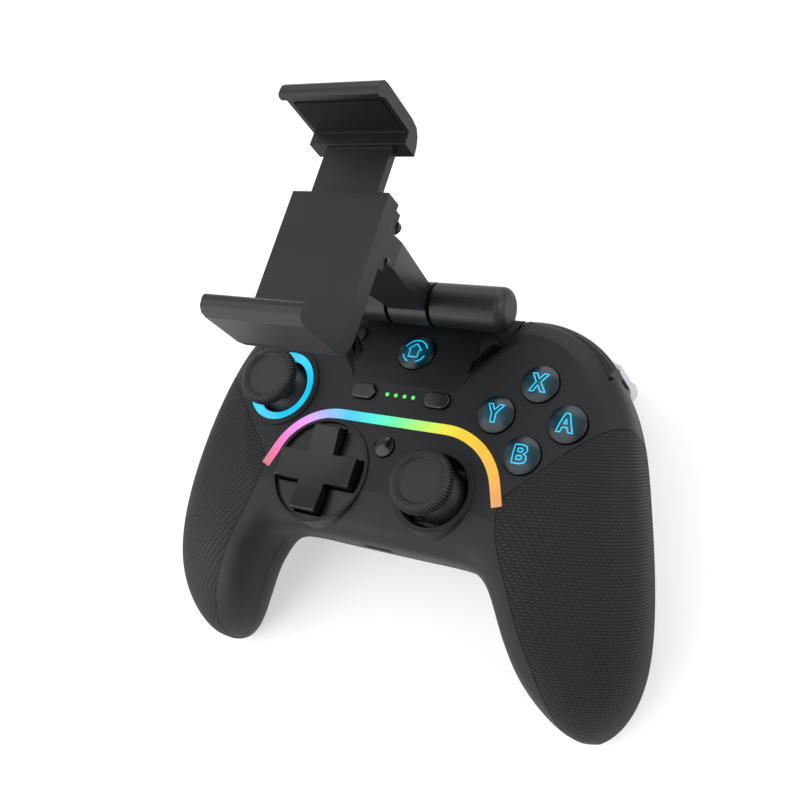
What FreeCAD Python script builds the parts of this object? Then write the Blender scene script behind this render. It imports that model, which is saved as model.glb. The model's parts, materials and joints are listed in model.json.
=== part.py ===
"""Wireless gamepad with a tilting device clip, built as the separate pieces that it comes apart into.

Frame while modelling: millimetres, X to the player's right, Y from the player towards the top edge of the
gamepad, Z out of the face, with z = 0 on the flat of the face. Everything is lifted by face_height when it is
written, so that the finished part stands on z = 0 on its grips and triggers.
"""
import FreeCAD, Part
import math
import os
from FreeCAD import Vector

os.makedirs("parts", exist_ok=True)

# Overall placing
face_height = 52.0        # flat of the face above the surface that the gamepad lies on

# Walls, seams and fits
wall = 2.4                # shell wall
seam_gap = 0.2            # open seam between the two shells
panel_thickness = 1.3     # grip panel skin
panel_gap = 0.15          # seam round a grip panel
clearance = 0.3           # between pieces that only lie beside each other
button_gap = 0.2          # round a button in its hole
running_fit = 0.05        # radial, between a pin and its bore

# Shoulder controls, in a frame that follows the slanted shoulder
shoulder_x = 45.0
shoulder_y = 34.5
shoulder_angle = 21.0     # slant of the shoulder in plan, degrees
pocket_inner = -16.4      # inner end of the shoulder pocket along the shoulder
pocket_outer = 16.8       # outer end, inside the side of the body
pocket_wall = 1.6         # wall between the pocket and the inside of the body
lip_bottom = -3.2         # underside of the shell lip over the bumper
shelf_top = -12.6         # top of the shelf between bumper and trigger
shelf_thickness = 1.2
bumper_pocket_back = -9.2
trigger_pocket_back = -11.0

bumper_length = 31.6
bumper_back = -7.0
bumper_bulge = 4.4        # outer face beyond the shoulder line, at its middle
bumper_end = 0.4          # the same at its two ends
bumper_edge_round = 1.6
bumper_pin_radius = 1.0
bumper_pin_inset = 2.2    # from the inner end of the bumper
bumper_pin_back = -4.4

trigger_pin_y = -4.0
trigger_pin_z = -18.0
trigger_pin_radius = 1.2
trigger_ear_thickness = 2.4
trigger_inner_ear = -15.8
trigger_outer_ear = 9.4
trigger_ear_radius = 3.2

# Face controls
stick_x = 41.7            # left stick and the face button group lie at the same place on either side
stick_y = 9.8
low_group_x = 18.9        # d-pad and right stick lie at the same place on either side
low_group_y = -14.2

face_button_radius = 5.4
face_button_offset = 10.4
face_button_dome = 2.1    # top of the dome above the face
face_button_edge = 0.7    # edge of the dome above the face
face_button_travel = 1.2
button_flange = 0.9       # radial width of the retaining flange
button_flange_thickness = 1.2

home_y = 26.3
home_radius = 5.9
home_dome = 1.9
home_edge = 0.6
pill_offset = 12.3
pill_y = 11.6
pill_length = 8.2
pill_width = 4.8
pill_height = 1.1
round_button_y = -4.3
round_button_radius = 3.1
round_button_dome = 1.5
round_button_edge = 0.7
small_travel = 0.8
flange_gap = 0.1          # button flange under the shell
flange_relief = 0.05      # how far the flange seats are sunk into the shell
stem_radius = 1.5
membrane_thickness = 0.8
membrane_dome_height = 1.5
membrane_dome_radius = 2.4
press_gap = 0.15          # left between a pressed stem and its rubber dome

led_pitch = 2.9
led_count = 4
led_radius = 0.6
led_length = 3.4

# D-pad
dish_radius = 14.9
dish_rim = 1.1
dish_ledge = 0.65          # ledge of the shell under the dish, clear of the tilting cross
dish_rim_height = 0.6
dish_depth = 0.7          # floor of the dish under the face
dish_thickness = 1.6
dpad_span = 26.0
dpad_arm = 8.8
dpad_height = 3.6         # arms above the face
dpad_hollow = 1.5         # depth of the thumb hollow
dpad_gap = 0.5            # round the cross in the dish
dpad_bottom = -3.4
dpad_pivot_z = -5.0
dpad_tilt = 4.0
dpad_prong = 10.0         # distance of the four prongs from the middle
dpad_prong_radius = 1.3
dpad_skirt_outer = 6.8
dpad_skirt_inner = 5.0
dpad_skirt_bottom = -7.0
rocker_outer = 4.3
rocker_inner = 2.8
rocker_half_height = 1.2
rocker_pin_radius = 0.8
post_radius = 2.2
post_foot_radius = 4.5

# Sticks
stick_pivot_z = -10.0
cap_radius = 8.75
cap_bottom = 6.0
cap_top = 9.9
cap_disc_radius = 6.2
cap_disc_drop = 0.7
cap_neck_radius = 4.4
skirt_radius = 10.6
skirt_wall = 1.2
skirt_angle = 52.0
shaft_radius = 2.2
ball_radius = 2.7
ring_outer = 5.4
ring_inner = 3.3
ring_half_height = 1.4
trunnion_radius = 0.9
cross_pin_radius = 0.8
frame_inner_half = 5.9
frame_wall = 1.5
frame_half_height = 2.3
module_wall = 1.0
module_play = 0.15        # between the sliding frame and its module
module_corner_radius = 11.3
module_recess_drop = 4.3  # floor of the recess under the pivot
module_rim = 1.9          # rim of the module above the pivot
pot_depth = 3.0
pot_half = 3.5

right_opening_radius = 10.7
right_island_top_radius = 12.2
right_island_base_radius = 15.6
right_island_top = 0.7
island_depth = 12.0
light_ring_inner = 8.9
light_ring_outer = 11.3
light_ring_top = 0.2
light_ring_thickness = 1.8
left_collar_width = 1.7
left_collar_height = 0.8

# Light strip
strip_width = 3.0
strip_top_y = 3.6
strip_corner_radius = 20.0
strip_corner_x = 17.4
strip_leg_angle = 69.8    # leg against the X axis, degrees
strip_leg_length = 6.4
strip_thickness = 2.0

# Valley in the face under the clip
valley_start_y = 15.0
valley_end_y = 46.0
valley_start_half = 17.0
valley_end_half = 31.0
valley_end_depth = 6.0
valley_wall_start = 2.0   # how far the side walls lean out at the start
valley_wall_end = 19.0
valley_wall_height = 2.0  # top of the cutting tool above the face

# Kite recesses beside the valley
recess_depth = 0.8
recess_insert_thickness = 0.8

# Inside
board_top_clearance = 5.4     # from the stick pivot down to the board
board_thickness = 1.6
board_half = 53.0
board_front_y = -26.5
board_back_y = 30.5
standoffs = [(31.5, -21.0), (27.0, 21.5)]   # on the right, mirrored
standoff_radius = 2.2
board_screw_radius = 0.9
board_screw_head = 1.7
tray_rib = 1.6            # ribs that carry the battery
battery_length = 46.0
battery_width = 34.0
battery_thickness = 8.5
battery_y = 4.0
battery_floor = -32.2
motor_x = 58.5
motor_y = -31.0
motor_z = -28.5
motor_radius = 6.2
motor_length = 13.0
motor_shaft_radius = 1.0
motor_shaft_length = 7.5
weight_radius = 5.6
weight_length = 5.0
weight_gap = 2.0          # between motor and weight
cradle_thickness = 2.0
screw_radius = 1.2
screw_head_radius = 2.3
screw_head_height = 1.6
boss_radius = 3.0
port_width = 8.9
port_height = 3.2
port_depth = 7.0
port_wall = 0.5

# Clip
clip_half_width = 14.5
jaw_wall = 3.6
jaw_foot = 3.6            # length of the upper jaw's foot in front of its wall
jaw_gap = 57.4            # opening between the jaws as photographed
lower_jaw_y = 0.6         # outer face of the lower jaw
plate_bottom = 52.0
plate_thickness = 5.6
jaw_top = 75.2
jaw_lip_height = 3.0
plate_end_y = 44.0
tongue_half = 10.0
tongue_thickness = 2.6
tongue_play = 0.15
tongue_start_y = 13.0
channel_start_y = 4.6
pad_thickness = 1.2
pad_inset = 0.9           # depth of the pad's seat in the jaw
pad_margin = 1.6

hinge_y = 38.6
hinge_z = 6.4
hinge_barrel_radius = 6.4
hinge_pin_radius = 2.0
hinge_half_width = 27.0
knuckle_half = 6.3
washer_thickness = 1.0
washer_radius = 4.6
washer_play = 0.1
hinge_cap_length = 4.6
hinge_cap_round = 2.6
arm_thickness = 8.0
arm_top_half = 11.0
saddle_half = 23.0
saddle_gap = 0.3
saddle_back_y = 44.4
saddle_shelf_y = 16.0
saddle_bottom = -39.4
saddle_screw_x = 14.0
saddle_screw_y = 28.0
flange_half = 13.6        # flange of the arm under the plate
flange_start_y = 27.0
flange_end_y = 43.0
flange_thickness = 3.4
clip_screw_x = 12.3

# Worked out from the sizes above
board_top = stick_pivot_z - board_top_clearance
board_bottom = board_top - board_thickness
plate_top = plate_bottom + plate_thickness
lower_jaw_inner = lower_jaw_y + jaw_wall
upper_jaw_inner = lower_jaw_inner + jaw_gap
bumper_start = pocket_inner + 0.6
port_z = board_top + port_height / 2
dome_top = board_top + membrane_thickness + membrane_dome_height
seam_drop = 3.2           # seam between the shells under the widest line of the body
seam_reach = 9.0

# Cross sections of the body on the right half, from the middle round to the tip of the grip. Each row is the
# inner end (crotch side) and the outer end (shoulder side) of the section in plan, the heights of its crown,
# waist and keel, and the squareness of its inner top, outer top and underside (2 is an ellipse).
STATIONS = [
    (0.0, -31.0, 0.0, 40.0, 1.0, -14.0, -36.0, 3.4, 6.0, 3.2),
    (13.0, -31.0, 15.0, 40.5, 1.0, -14.0, -36.0, 3.4, 6.0, 3.2),
    (24.5, -31.0, 32.0, 41.0, 1.0, -14.0, -35.5, 3.4, 6.0, 3.2),
    (32.0, -32.0, 46.0, 38.0, 1.0, -14.5, -35.0, 3.4, 6.0, 3.1),
    (36.5, -35.0, 57.5, 30.5, 0.6, -16.0, -35.5, 3.4, 5.0, 3.0),
    (39.6, -40.0, 65.8, 17.5, -1.0, -18.0, -37.5, 3.2, 4.0, 2.8),
    (42.0, -45.3, 71.0, 1.0, -3.2, -20.5, -40.0, 3.0, 3.4, 2.6),
    (44.2, -50.3, 74.8, -15.5, -6.5, -24.0, -43.5, 2.8, 3.0, 2.5),
    (46.8, -55.3, 77.4, -32.0, -11.5, -28.5, -47.5, 2.6, 2.7, 2.4),
    (50.0, -59.6, 77.4, -45.5, -17.5, -33.5, -51.2, 2.4, 2.5, 2.3),
    (54.0, -63.2, 74.6, -55.5, -24.5, -38.0, -53.4, 2.3, 2.3, 2.2),
    (58.0, -65.6, 70.6, -61.8, -31.5, -42.0, -52.0, 2.2, 2.2, 2.2),
    (62.0, -66.6, 67.0, -65.2, -38.5, -44.0, -49.0, 2.0, 2.0, 2.0),
]
cavity_stations = 11      # the cavity stops short of the tip

# Places of the interpolated points along half a section, as shares of its length from the inner end
SECTION_SHARES = [0.0, 0.06, 0.13, 0.2, 0.26, 0.32, 0.4, 0.5, 0.6, 0.68, 0.74, 0.8, 0.87, 0.94, 1.0]

# Seams of the right grip panel in plan, from the end of the light strip
PANEL_INNER_SEAM = [(38.6, -13.6), (39.4, -20.5), (41.6, -27.7), (44.3, -33.6), (47.2, -40.2),
                    (50.2, -46.9), (53.0, -52.6), (55.5, -58.4), (57.6, -63.0), (60.5, -71.0)]
PANEL_UPPER_SEAM = [(38.6, -13.6), (45.3, -6.6), (50.7, -0.9), (56.4, 4.8), (61.6, 9.6), (66.4, 13.2),
                    (76.0, 16.0)]

# Kite outline of the right recess in plan
RECESS = [(18.6, 21.2), (18.4, 25.6), (23.2, 31.6), (28.6, 32.2)]

# Outlines of the trigger in the shoulder frame: front and back faces from the side (y, z), then from outside
# (x, z) and from above (x, y)
TRIGGER_FRONT = [(2.5, -13.4), (4.6, -17.0), (5.6, -25.0), (5.8, -34.0), (6.8, -42.0),
                 (9.0, -48.0), (10.3, -51.7)]
TRIGGER_BACK = [(6.6, -52.0), (2.4, -45.0), (0.4, -36.0), (-1.0, -26.0)]
TRIGGER_HUB = [(-7.5, -22.0), (-8.5, -17.0), (-7.0, -14.7), (-0.6, -14.5)]
TRIGGER_WIDTH = [(-15.2, -13.0), (16.4, -13.0), (16.4, -20.0), (14.8, -28.0), (11.8, -36.0), (7.8, -44.0),
                 (3.0, -50.0), (-1.0, -52.0), (-8.0, -52.0), (-12.5, -47.0), (-14.8, -38.0), (-15.2, -26.0)]
TRIGGER_PLAN = [(-15.2, -9.0), (16.4, -9.0), (16.4, -1.8), (14.5, 0.9), (12.0, 3.2), (8.0, 6.5), (3.0, 9.8),
                (-2.0, 10.8), (-8.0, 9.5), (-15.2, 3.5)]

# Screw posts through both shells: x, y, top of the joint between the posts, seat of the screw head
SCREWS = [(22.5, 30.5, -14.0, -25.0), (52.6, -14.0, -17.5, -29.0), (58.0, -50.5, -31.0, -41.0)]


def box(x0, x1, y0, y1, z0, z1):
    """Box between two corners."""
    return Part.makeBox(x1 - x0, y1 - y0, z1 - z0, Vector(x0, y0, z0))


def rod(radius, start, end):
    """Round bar from start to end."""
    a = Vector(*start)
    b = Vector(*end)
    return Part.makeCylinder(radius, (b - a).Length, a, b - a)


def tube(outer, inner, start, end):
    """Round tube from start to end."""
    return rod(outer, start, end).cut(rod(inner, start, end))


def prism(points, z0, z1, smooth=False):
    """Upright prism on a plan outline."""
    corners = [Vector(x, y, z0) for x, y in points]
    if smooth:
        curve = Part.BSplineCurve()
        curve.interpolate(Points=corners, PeriodicFlag=True)
        outline = Part.Wire([curve.toShape()])
    else:
        outline = Part.makePolygon(corners + [corners[0]])
    return Part.Face(outline).extrude(Vector(0, 0, z1 - z0))


def side_profile(points, x0, x1):
    """Solid with a straight-sided outline in the side view (y, z), between two x values."""
    corners = [Vector(x0, y, z) for y, z in points]
    return Part.Face(Part.makePolygon(corners + [corners[0]])).extrude(Vector(x1 - x0, 0, 0))


def turned(points, x=0.0, y=0.0):
    """Solid of revolution about an upright axis, from its (radius, z) outline."""
    corners = [Vector(x + r, y, z) for r, z in points]
    outline = Part.Face(Part.makePolygon(corners + [corners[0]]))
    return outline.revolve(Vector(x, y, 0), Vector(0, 0, 1), 360)


def dome_cap(radius, edge_z, top_z, bottom_z, x=0.0, y=0.0):
    """Upright cylinder from bottom_z with a spherical dome from edge_z at its rim to top_z in the middle."""
    rise = top_z - edge_z
    mid = Vector(x + radius * 0.55, y, top_z - rise * 0.3)
    arc = Part.Arc(Vector(x, y, top_z), mid, Vector(x + radius, y, edge_z)).toShape()
    side = Part.makePolygon([Vector(x + radius, y, edge_z), Vector(x + radius, y, bottom_z),
                             Vector(x, y, bottom_z), Vector(x, y, top_z)])
    return Part.Face(Part.Wire([arc] + side.Edges)).revolve(Vector(x, y, 0), Vector(0, 0, 1), 360)


def mirrored(shape):
    """The same piece on the other side of the centre plane."""
    return shape.mirror(Vector(0, 0, 0), Vector(1, 0, 0))


def fuse_all(shapes):
    """One solid from several that meet."""
    return shapes[0].multiFuse(shapes[1:]).removeSplitter()


def rounded(shape, radius, test):
    """Fillet the edges for which test(edge) holds."""
    edges = [edge for edge in shape.Edges if test(edge)]
    return shape.makeFillet(radius, edges)


def signed_power(value, power):
    """Power that keeps the sign."""
    return math.copysign(abs(value) ** power, value)


def half_outline(middle, along, half, waist, rise, first_power, last_power):
    """Points over one half of a section at the shared places, from its inner end to its outer end."""
    fine = []
    for angle in range(0, 181, 2):
        turn = math.radians(angle)
        power = first_power if angle < 90 else last_power
        reach = signed_power(math.cos(turn), 2 / power)
        lift = math.sin(turn) ** (2 / power) if 0 < angle < 180 else 0.0
        place = middle - along * (half * reach)
        fine.append(Vector(place.x, place.y, waist + rise * lift))
    lengths = [0.0]
    for a, b in zip(fine, fine[1:]):
        lengths.append(lengths[-1] + (b - a).Length)
    points = []
    k = 0
    for share in SECTION_SHARES:
        length = share * lengths[-1]
        while k < len(fine) - 2 and lengths[k + 1] < length:
            k += 1
        part = (length - lengths[k]) / (lengths[k + 1] - lengths[k])
        points.append(fine[k] + (fine[k + 1] - fine[k]) * part)
    return points


def upright_ended(points, shares, start):
    """Curve through the points that leaves along start and comes back against it, at an even speed."""
    length = sum((b - a).Length for a, b in zip(points, points[1:]))
    curve = Part.BSplineCurve()
    curve.interpolate(Points=points, Parameters=shares, InitialTangent=start * length,
                      FinalTangent=start * -length, Scale=False)
    return curve.toShape()


def section_wire(row, inset, side):
    """Closed outline of the body at one station, moved inwards by inset, kept under the flat face."""
    inner_x, inner_y, outer_x, outer_y, crown, waist, keel, inner_top, outer_top, under = row
    inner = Vector(side * inner_x, inner_y, 0)
    outer = Vector(side * outer_x, outer_y, 0)
    middle = (inner + outer) * 0.5
    half = (outer - inner).Length / 2 - inset
    if inset > 0:
        crown = min(crown, 0.0)
        keel = max(keel, -face_height)
    along = (outer - inner).normalize()
    top = half_outline(middle, along, half, waist, crown - inset - waist, inner_top, outer_top)
    bottom = half_outline(middle, along, half, waist, keel + inset - waist, under, under)
    bottom.reverse()
    up = Vector(0, 0, 1)
    back_shares = [1.0 - share for share in reversed(SECTION_SHARES)]
    top_edge = upright_ended(top, SECTION_SHARES, up)
    bottom_edge = upright_ended(bottom, back_shares, -up)
    return Part.Wire([top_edge, bottom_edge])


def body_loft(inset, count=None):
    """Whole body from tip to tip, moved inwards by inset all round and then one station shorter."""
    rows = STATIONS[:count]
    if inset > 0 and count is None:
        rows = STATIONS[:-1]
    left = [section_wire(row, inset, -1) for row in reversed(rows[1:])]
    right = [section_wire(row, inset, 1) for row in rows]
    return Part.makeLoft(left + right, True, False)


def valley_tool(drop):
    """Wedge that cuts the sloping valley, lowered by drop for the wall under it."""
    def outline(y, half, depth, lean):
        return Part.makePolygon([Vector(-half, y, -depth - drop), Vector(half, y, -depth - drop),
                                 Vector(half + lean, y, valley_wall_height),
                                 Vector(-half - lean, y, valley_wall_height),
                                 Vector(-half, y, -depth - drop)])
    start = outline(valley_start_y, valley_start_half, 0.0, valley_wall_start)
    end = outline(valley_end_y, valley_end_half, valley_end_depth, valley_wall_end)
    return Part.makeLoft([start, end], True, True)


def to_shoulder(shape):
    """Move a piece from the shoulder frame (x along the shoulder, y outwards) to its place on the right."""
    placed = shape.copy()
    placed.rotate(Vector(0, 0, 0), Vector(0, 0, 1), -shoulder_angle)
    placed.translate(Vector(shoulder_x, shoulder_y, 0))
    return placed


def shoulder_pocket(grow):
    """Space for the bumper and trigger on the right, grown for the wall round it."""
    far = 30.0
    bumper_space = box(pocket_inner - grow, pocket_outer, bumper_pocket_back - grow, far,
                       shelf_top - 1.0, lip_bottom + grow)
    trigger_space = box(pocket_inner - grow, pocket_outer, trigger_pocket_back - grow, far,
                        -70.0, shelf_top + grow)
    return to_shoulder(bumper_space.fuse(trigger_space))


def below_seam(lift):
    """Everything under the seam between the shells, which runs a little under the widest line of the body."""
    low = -90.0
    rows = [(row[0], row[1], row[2], row[3], row[5]) for row in STATIONS]
    inner_x, inner_y, outer_x, outer_y, waist = rows[-1]
    rows.append((inner_x + 0.7, inner_y - 8.0, outer_x + 0.7, outer_y - 8.0, waist - 7.0))

    def outline(row, side):
        inner = Vector(side * row[0], row[1], 0)
        outer = Vector(side * row[2], row[3], 0)
        beyond = (outer - inner).normalize() * seam_reach
        start = inner - beyond
        end = outer + beyond
        top = row[4] - seam_drop + lift
        corners = [Vector(start.x, start.y, top), Vector(end.x, end.y, top),
                   Vector(end.x, end.y, low), Vector(start.x, start.y, low)]
        return Part.makePolygon(corners + [corners[0]])

    left = [outline(row, -1) for row in reversed(rows[1:])]
    right = [outline(row, 1) for row in rows]
    return Part.makeLoft(left + right, True, False)


def panel_region(grow):
    """Upright column over the right grip panel, grown outwards for the seam round it."""
    def seam(points, shift):
        curve = Part.BSplineCurve()
        curve.interpolate([Vector(x + shift[0], y + shift[1], -80) for x, y in points])
        return curve.toShape()
    diagonal = grow * 0.7
    inner_seam = seam(PANEL_INNER_SEAM, (-grow, -diagonal))
    upper_seam = seam(PANEL_UPPER_SEAM, (-diagonal, grow))
    inner_start = inner_seam.Vertexes[0].Point
    inner_end = inner_seam.Vertexes[-1].Point
    upper_start = upper_seam.Vertexes[0].Point
    upper_end = upper_seam.Vertexes[-1].Point
    far = 100.0
    edges = [inner_seam]
    corners = [inner_end, Vector(far, inner_end.y, -80), Vector(far, upper_end.y, -80), upper_end]
    edges += Part.makePolygon(corners).Edges
    edges.append(upper_seam)
    if (inner_start - upper_start).Length > 1e-6:
        edges.append(Part.makeLine(upper_start, inner_start))
    outline = Part.Wire(Part.__sortEdges__(edges))
    return Part.Face(outline).extrude(Vector(0, 0, 90))


def strip_column(width, end_extra):
    """Upright column over the light strip."""
    turn = math.radians(strip_leg_angle)
    z0 = -8.0

    def edge_run(offset, sign):
        radius = strip_corner_radius + offset
        centre = Vector(sign * strip_corner_x, strip_top_y - strip_corner_radius, z0)
        out = Vector(sign * math.sin(turn), math.cos(turn), 0)
        down = Vector(sign * math.cos(turn), -math.sin(turn), 0)
        halfway = Vector(sign * math.sin(turn / 2), math.cos(turn / 2), 0)
        top = centre + Vector(0, radius, 0)
        middle = centre + halfway * radius
        low = centre + out * radius
        foot = low + down * (strip_leg_length + end_extra)
        return top, middle, low, foot

    edges = []
    feet = {}
    for offset in (width / 2, -width / 2):
        right_top, right_middle, right_low, right_foot = edge_run(offset, 1)
        left_top, left_middle, left_low, left_foot = edge_run(offset, -1)
        edges.append(Part.makeLine(left_top, right_top))
        edges.append(Part.Arc(right_top, right_middle, right_low).toShape())
        edges.append(Part.makeLine(right_low, right_foot))
        edges.append(Part.Arc(left_top, left_middle, left_low).toShape())
        edges.append(Part.makeLine(left_low, left_foot))
        feet[offset] = (left_foot, right_foot)
    outer_feet, inner_feet = feet[width / 2], feet[-width / 2]
    edges.append(Part.makeLine(outer_feet[0], inner_feet[0]))
    edges.append(Part.makeLine(outer_feet[1], inner_feet[1]))
    outline = Part.Wire(Part.__sortEdges__(edges))
    return Part.Face(outline).extrude(Vector(0, 0, 16))


def lowered(shape, drop):
    """A copy moved down."""
    copy = shape.copy()
    copy.translate(Vector(0, 0, -drop))
    return copy


def on_valley(shape):
    """Lay a piece modelled upright about the origin on the valley floor at the home button."""
    slope = math.degrees(math.atan(valley_end_depth / (valley_end_y - valley_start_y)))
    depth = (home_y - valley_start_y) * valley_end_depth / (valley_end_y - valley_start_y)
    placed = shape.copy()
    placed.rotate(Vector(0, 0, 0), Vector(1, 0, 0), -slope)
    placed.translate(Vector(0, home_y, -depth))
    return placed


def moved(shape, x, y, z=0.0):
    """A copy moved sideways."""
    copy = shape.copy()
    copy.translate(Vector(x, y, z))
    return copy


def pill(x, y, length, width, z0, z1):
    """Upright bar with round ends along X."""
    straight = (length - width) / 2
    middle = box(x - straight, x + straight, y - width / 2, y + width / 2, z0, z1)
    ends = [rod(width / 2, (x + side * straight, y, z0), (x + side * straight, y, z1)) for side in (-1, 1)]
    return fuse_all([middle] + ends)


def cut_body(shape):
    """The solid of a cut that may come back wrapped."""
    return max(shape.Solids, key=lambda solid: solid.BoundBox.DiagonalLength)


# Node name to shape, filled in below and written at the end
parts = {}

# Outer form of the body. The right half is made and cut at the seam, and the left one is its mirror image
outer = body_loft(0.0).common(box(-100, 100, -100, 100, -face_height, 0)).Solids[0]
right_side = box(0, 100, -100, 100, -100, 50)
front_outer = outer.common(right_side).cut(below_seam(0.0))
dish_island = rod(dish_radius + dish_rim, (low_group_x, low_group_y, -island_depth),
                  (low_group_x, low_group_y, dish_rim_height))
stick_island = Part.makeCone(right_island_base_radius, right_island_top_radius,
                             island_depth + right_island_top,
                             Vector(low_group_x, low_group_y, -island_depth), Vector(0, 0, 1))
ring_collar = rod(light_ring_outer + left_collar_width, (stick_x, stick_y, -island_depth),
                  (stick_x, stick_y, left_collar_height))
dish_hollow = rod(dish_radius + dish_rim - wall, (low_group_x, low_group_y, -island_depth),
                  (low_group_x, low_group_y, -wall - dish_depth))
stick_hollow = rod(right_opening_radius, (low_group_x, low_group_y, -island_depth),
                   (low_group_x, low_group_y, -wall))
pocket = shoulder_pocket(0.0)

# Cavity, and the space for the grip panel
cavity = body_loft(wall, cavity_stations).cut([valley_tool(wall), shoulder_pocket(pocket_wall)])
panel_bed = body_loft(panel_thickness + running_fit)
strip_hole = strip_column(strip_width + 2 * running_fit, running_fit)
right_skin = outer.common(panel_region(0.0)).cut(body_loft(panel_thickness)).cut([strip_hole, pocket])
skin_space = panel_region(panel_gap).cut(panel_bed)


def front_half(islands, hollow):
    """Right half of the front shell with its own islands round the controls."""
    half = front_outer.fuse(islands).cut([valley_tool(0.0), pocket])
    return half.cut([cavity, hollow]).cut(skin_space)


right_front = front_half([stick_island], stick_hollow)
left_front = mirrored(front_half([dish_island, ring_collar], dish_hollow))
front_shell = right_front.fuse(left_front)
rear_half = outer.cut(cavity).common(right_side).common(below_seam(-seam_gap)).cut(pocket).cut(skin_space)
rear_shell = rear_half.fuse(mirrored(rear_half))
parts["right_grip_panel"] = right_skin
parts["left_grip_panel"] = mirrored(right_skin)

# Face button centres: name to (x, y)
face_buttons = {
    "button_a": (stick_x + face_button_offset, stick_y),
    "button_b": (stick_x, stick_y - face_button_offset),
    "button_x": (stick_x, stick_y + face_button_offset),
    "button_y": (stick_x - face_button_offset, stick_y),
}
led_xs = [led_pitch * (k - (led_count - 1) / 2) for k in range(led_count)]
low = -10.0               # underside of the tools that cut through the face
high = 4.0                # and their top


def round_hole(radius, x, y):
    """Hole for a round button, with room under it for the flange."""
    return rod(radius + button_gap, (x, y, low), (x, y, high)).fuse(
        rod(radius + button_flange + button_gap, (x, y, low), (x, y, -wall + flange_relief)))


def pill_hole(x, y):
    """The same for a pill button."""
    wide = 2 * button_gap
    broad = wide + 2 * button_flange
    return pill(x, y, pill_length + wide, pill_width + wide, low, high).fuse(
        pill(x, y, pill_length + broad, pill_width + broad, low, -wall + flange_relief))


# Openings in the front shell
openings = [round_hole(face_button_radius, x, y) for x, y in face_buttons.values()]
openings.append(round_hole(round_button_radius, 0.0, round_button_y))
openings.append(on_valley(round_hole(home_radius, 0.0, 0.0)))
openings += [pill_hole(side * pill_offset, pill_y) for side in (-1, 1)]
openings += [rod(led_radius + running_fit, (x, pill_y, low), (x, pill_y, high)) for x in led_xs]
dish_seat = -dish_depth - dish_thickness
openings.append(rod(dish_radius + running_fit, (-low_group_x, low_group_y, dish_seat - running_fit),
                    (-low_group_x, low_group_y, high)))
openings.append(rod(dish_radius - dish_ledge, (-low_group_x, low_group_y, low),
                    (-low_group_x, low_group_y, high)))
openings.append(rod(right_opening_radius, (low_group_x, low_group_y, low), (low_group_x, low_group_y, high)))
ring_seat = light_ring_top - light_ring_thickness
openings.append(rod(light_ring_outer + running_fit, (-stick_x, stick_y, ring_seat - running_fit),
                    (-stick_x, stick_y, high)))
openings.append(rod(light_ring_inner + 0.4, (-stick_x, stick_y, low), (-stick_x, stick_y, high)))
openings.append(strip_hole.cut(box(-100, 100, -100, 100, -80, -strip_thickness)))
openings.append(box(-port_width / 2 - running_fit, port_width / 2 + running_fit, -40.0, -22.0,
                    port_z - port_height / 2 - running_fit, port_z + port_height / 2 + running_fit))
recess_column = prism(RECESS, -20.0, high)
face_form = front_outer.cut(valley_tool(0.0))
recess_hole = recess_column.cut(lowered(face_form, recess_depth + recess_insert_thickness))
openings += [recess_hole, mirrored(recess_hole)]

# Inserts of the recesses, the light strip, the light ring and the indicator lights
insert = recess_column.common(lowered(face_form, recess_depth))
insert = insert.cut(lowered(face_form, recess_depth + recess_insert_thickness))
parts["recess_inserts"] = Part.makeCompound([insert, mirrored(insert)])
right_strip = strip_column(strip_width, 0.0).common(box(0, 100, -100, 100, -strip_thickness, high))
right_strip = right_strip.common(front_outer)
parts["light_strip"] = right_strip.fuse(mirrored(right_strip))
parts["stick_light_ring"] = tube(light_ring_outer, light_ring_inner, (-stick_x, stick_y, ring_seat),
                                 (-stick_x, stick_y, light_ring_top))
parts["indicator_leds"] = Part.makeCompound([rod(led_radius, (x, pill_y, -led_length), (x, pill_y, 0.0))
                                             for x in led_xs])

# Screw posts through both shells, and the screws
solid_inside = outer.common(panel_bed)
front_posts = []
rear_posts = []
beside_pocket = shoulder_pocket(pocket_wall + clearance)
post_bores = []
screws = []
for x0, y0, joint_z, seat_z in SCREWS:
    for x in (x0, -x0):
        front_posts.append(rod(boss_radius, (x, y0, joint_z), (x, y0, -wall + 0.5)))
        post = rod(boss_radius, (x, y0, -60.0), (x, y0, joint_z))
        rear_posts.append(post.cut([beside_pocket, mirrored(beside_pocket)]))
        post_bores.append(rod(screw_radius + running_fit, (x, y0, seat_z), (x, y0, joint_z + 6.0)))
        post_bores.append(rod(screw_head_radius + clearance, (x, y0, -60.0), (x, y0, seat_z)))
        head = rod(screw_head_radius, (x, y0, seat_z - screw_head_height), (x, y0, seat_z))
        drive = rod(screw_head_radius * 0.45, (x, y0, seat_z - screw_head_height),
                    (x, y0, seat_z - screw_head_height * 0.4))
        shank = rod(screw_radius, (x, y0, seat_z), (x, y0, joint_z + 5.7))
        screws.append(head.fuse(shank).cut(drive))
parts["shell_screws"] = Part.makeCompound(screws)
front_posts = [post.common(solid_inside) for post in front_posts]
parts["front_shell"] = front_shell.multiFuse(front_posts).cut(openings).cut(post_bores)

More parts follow.
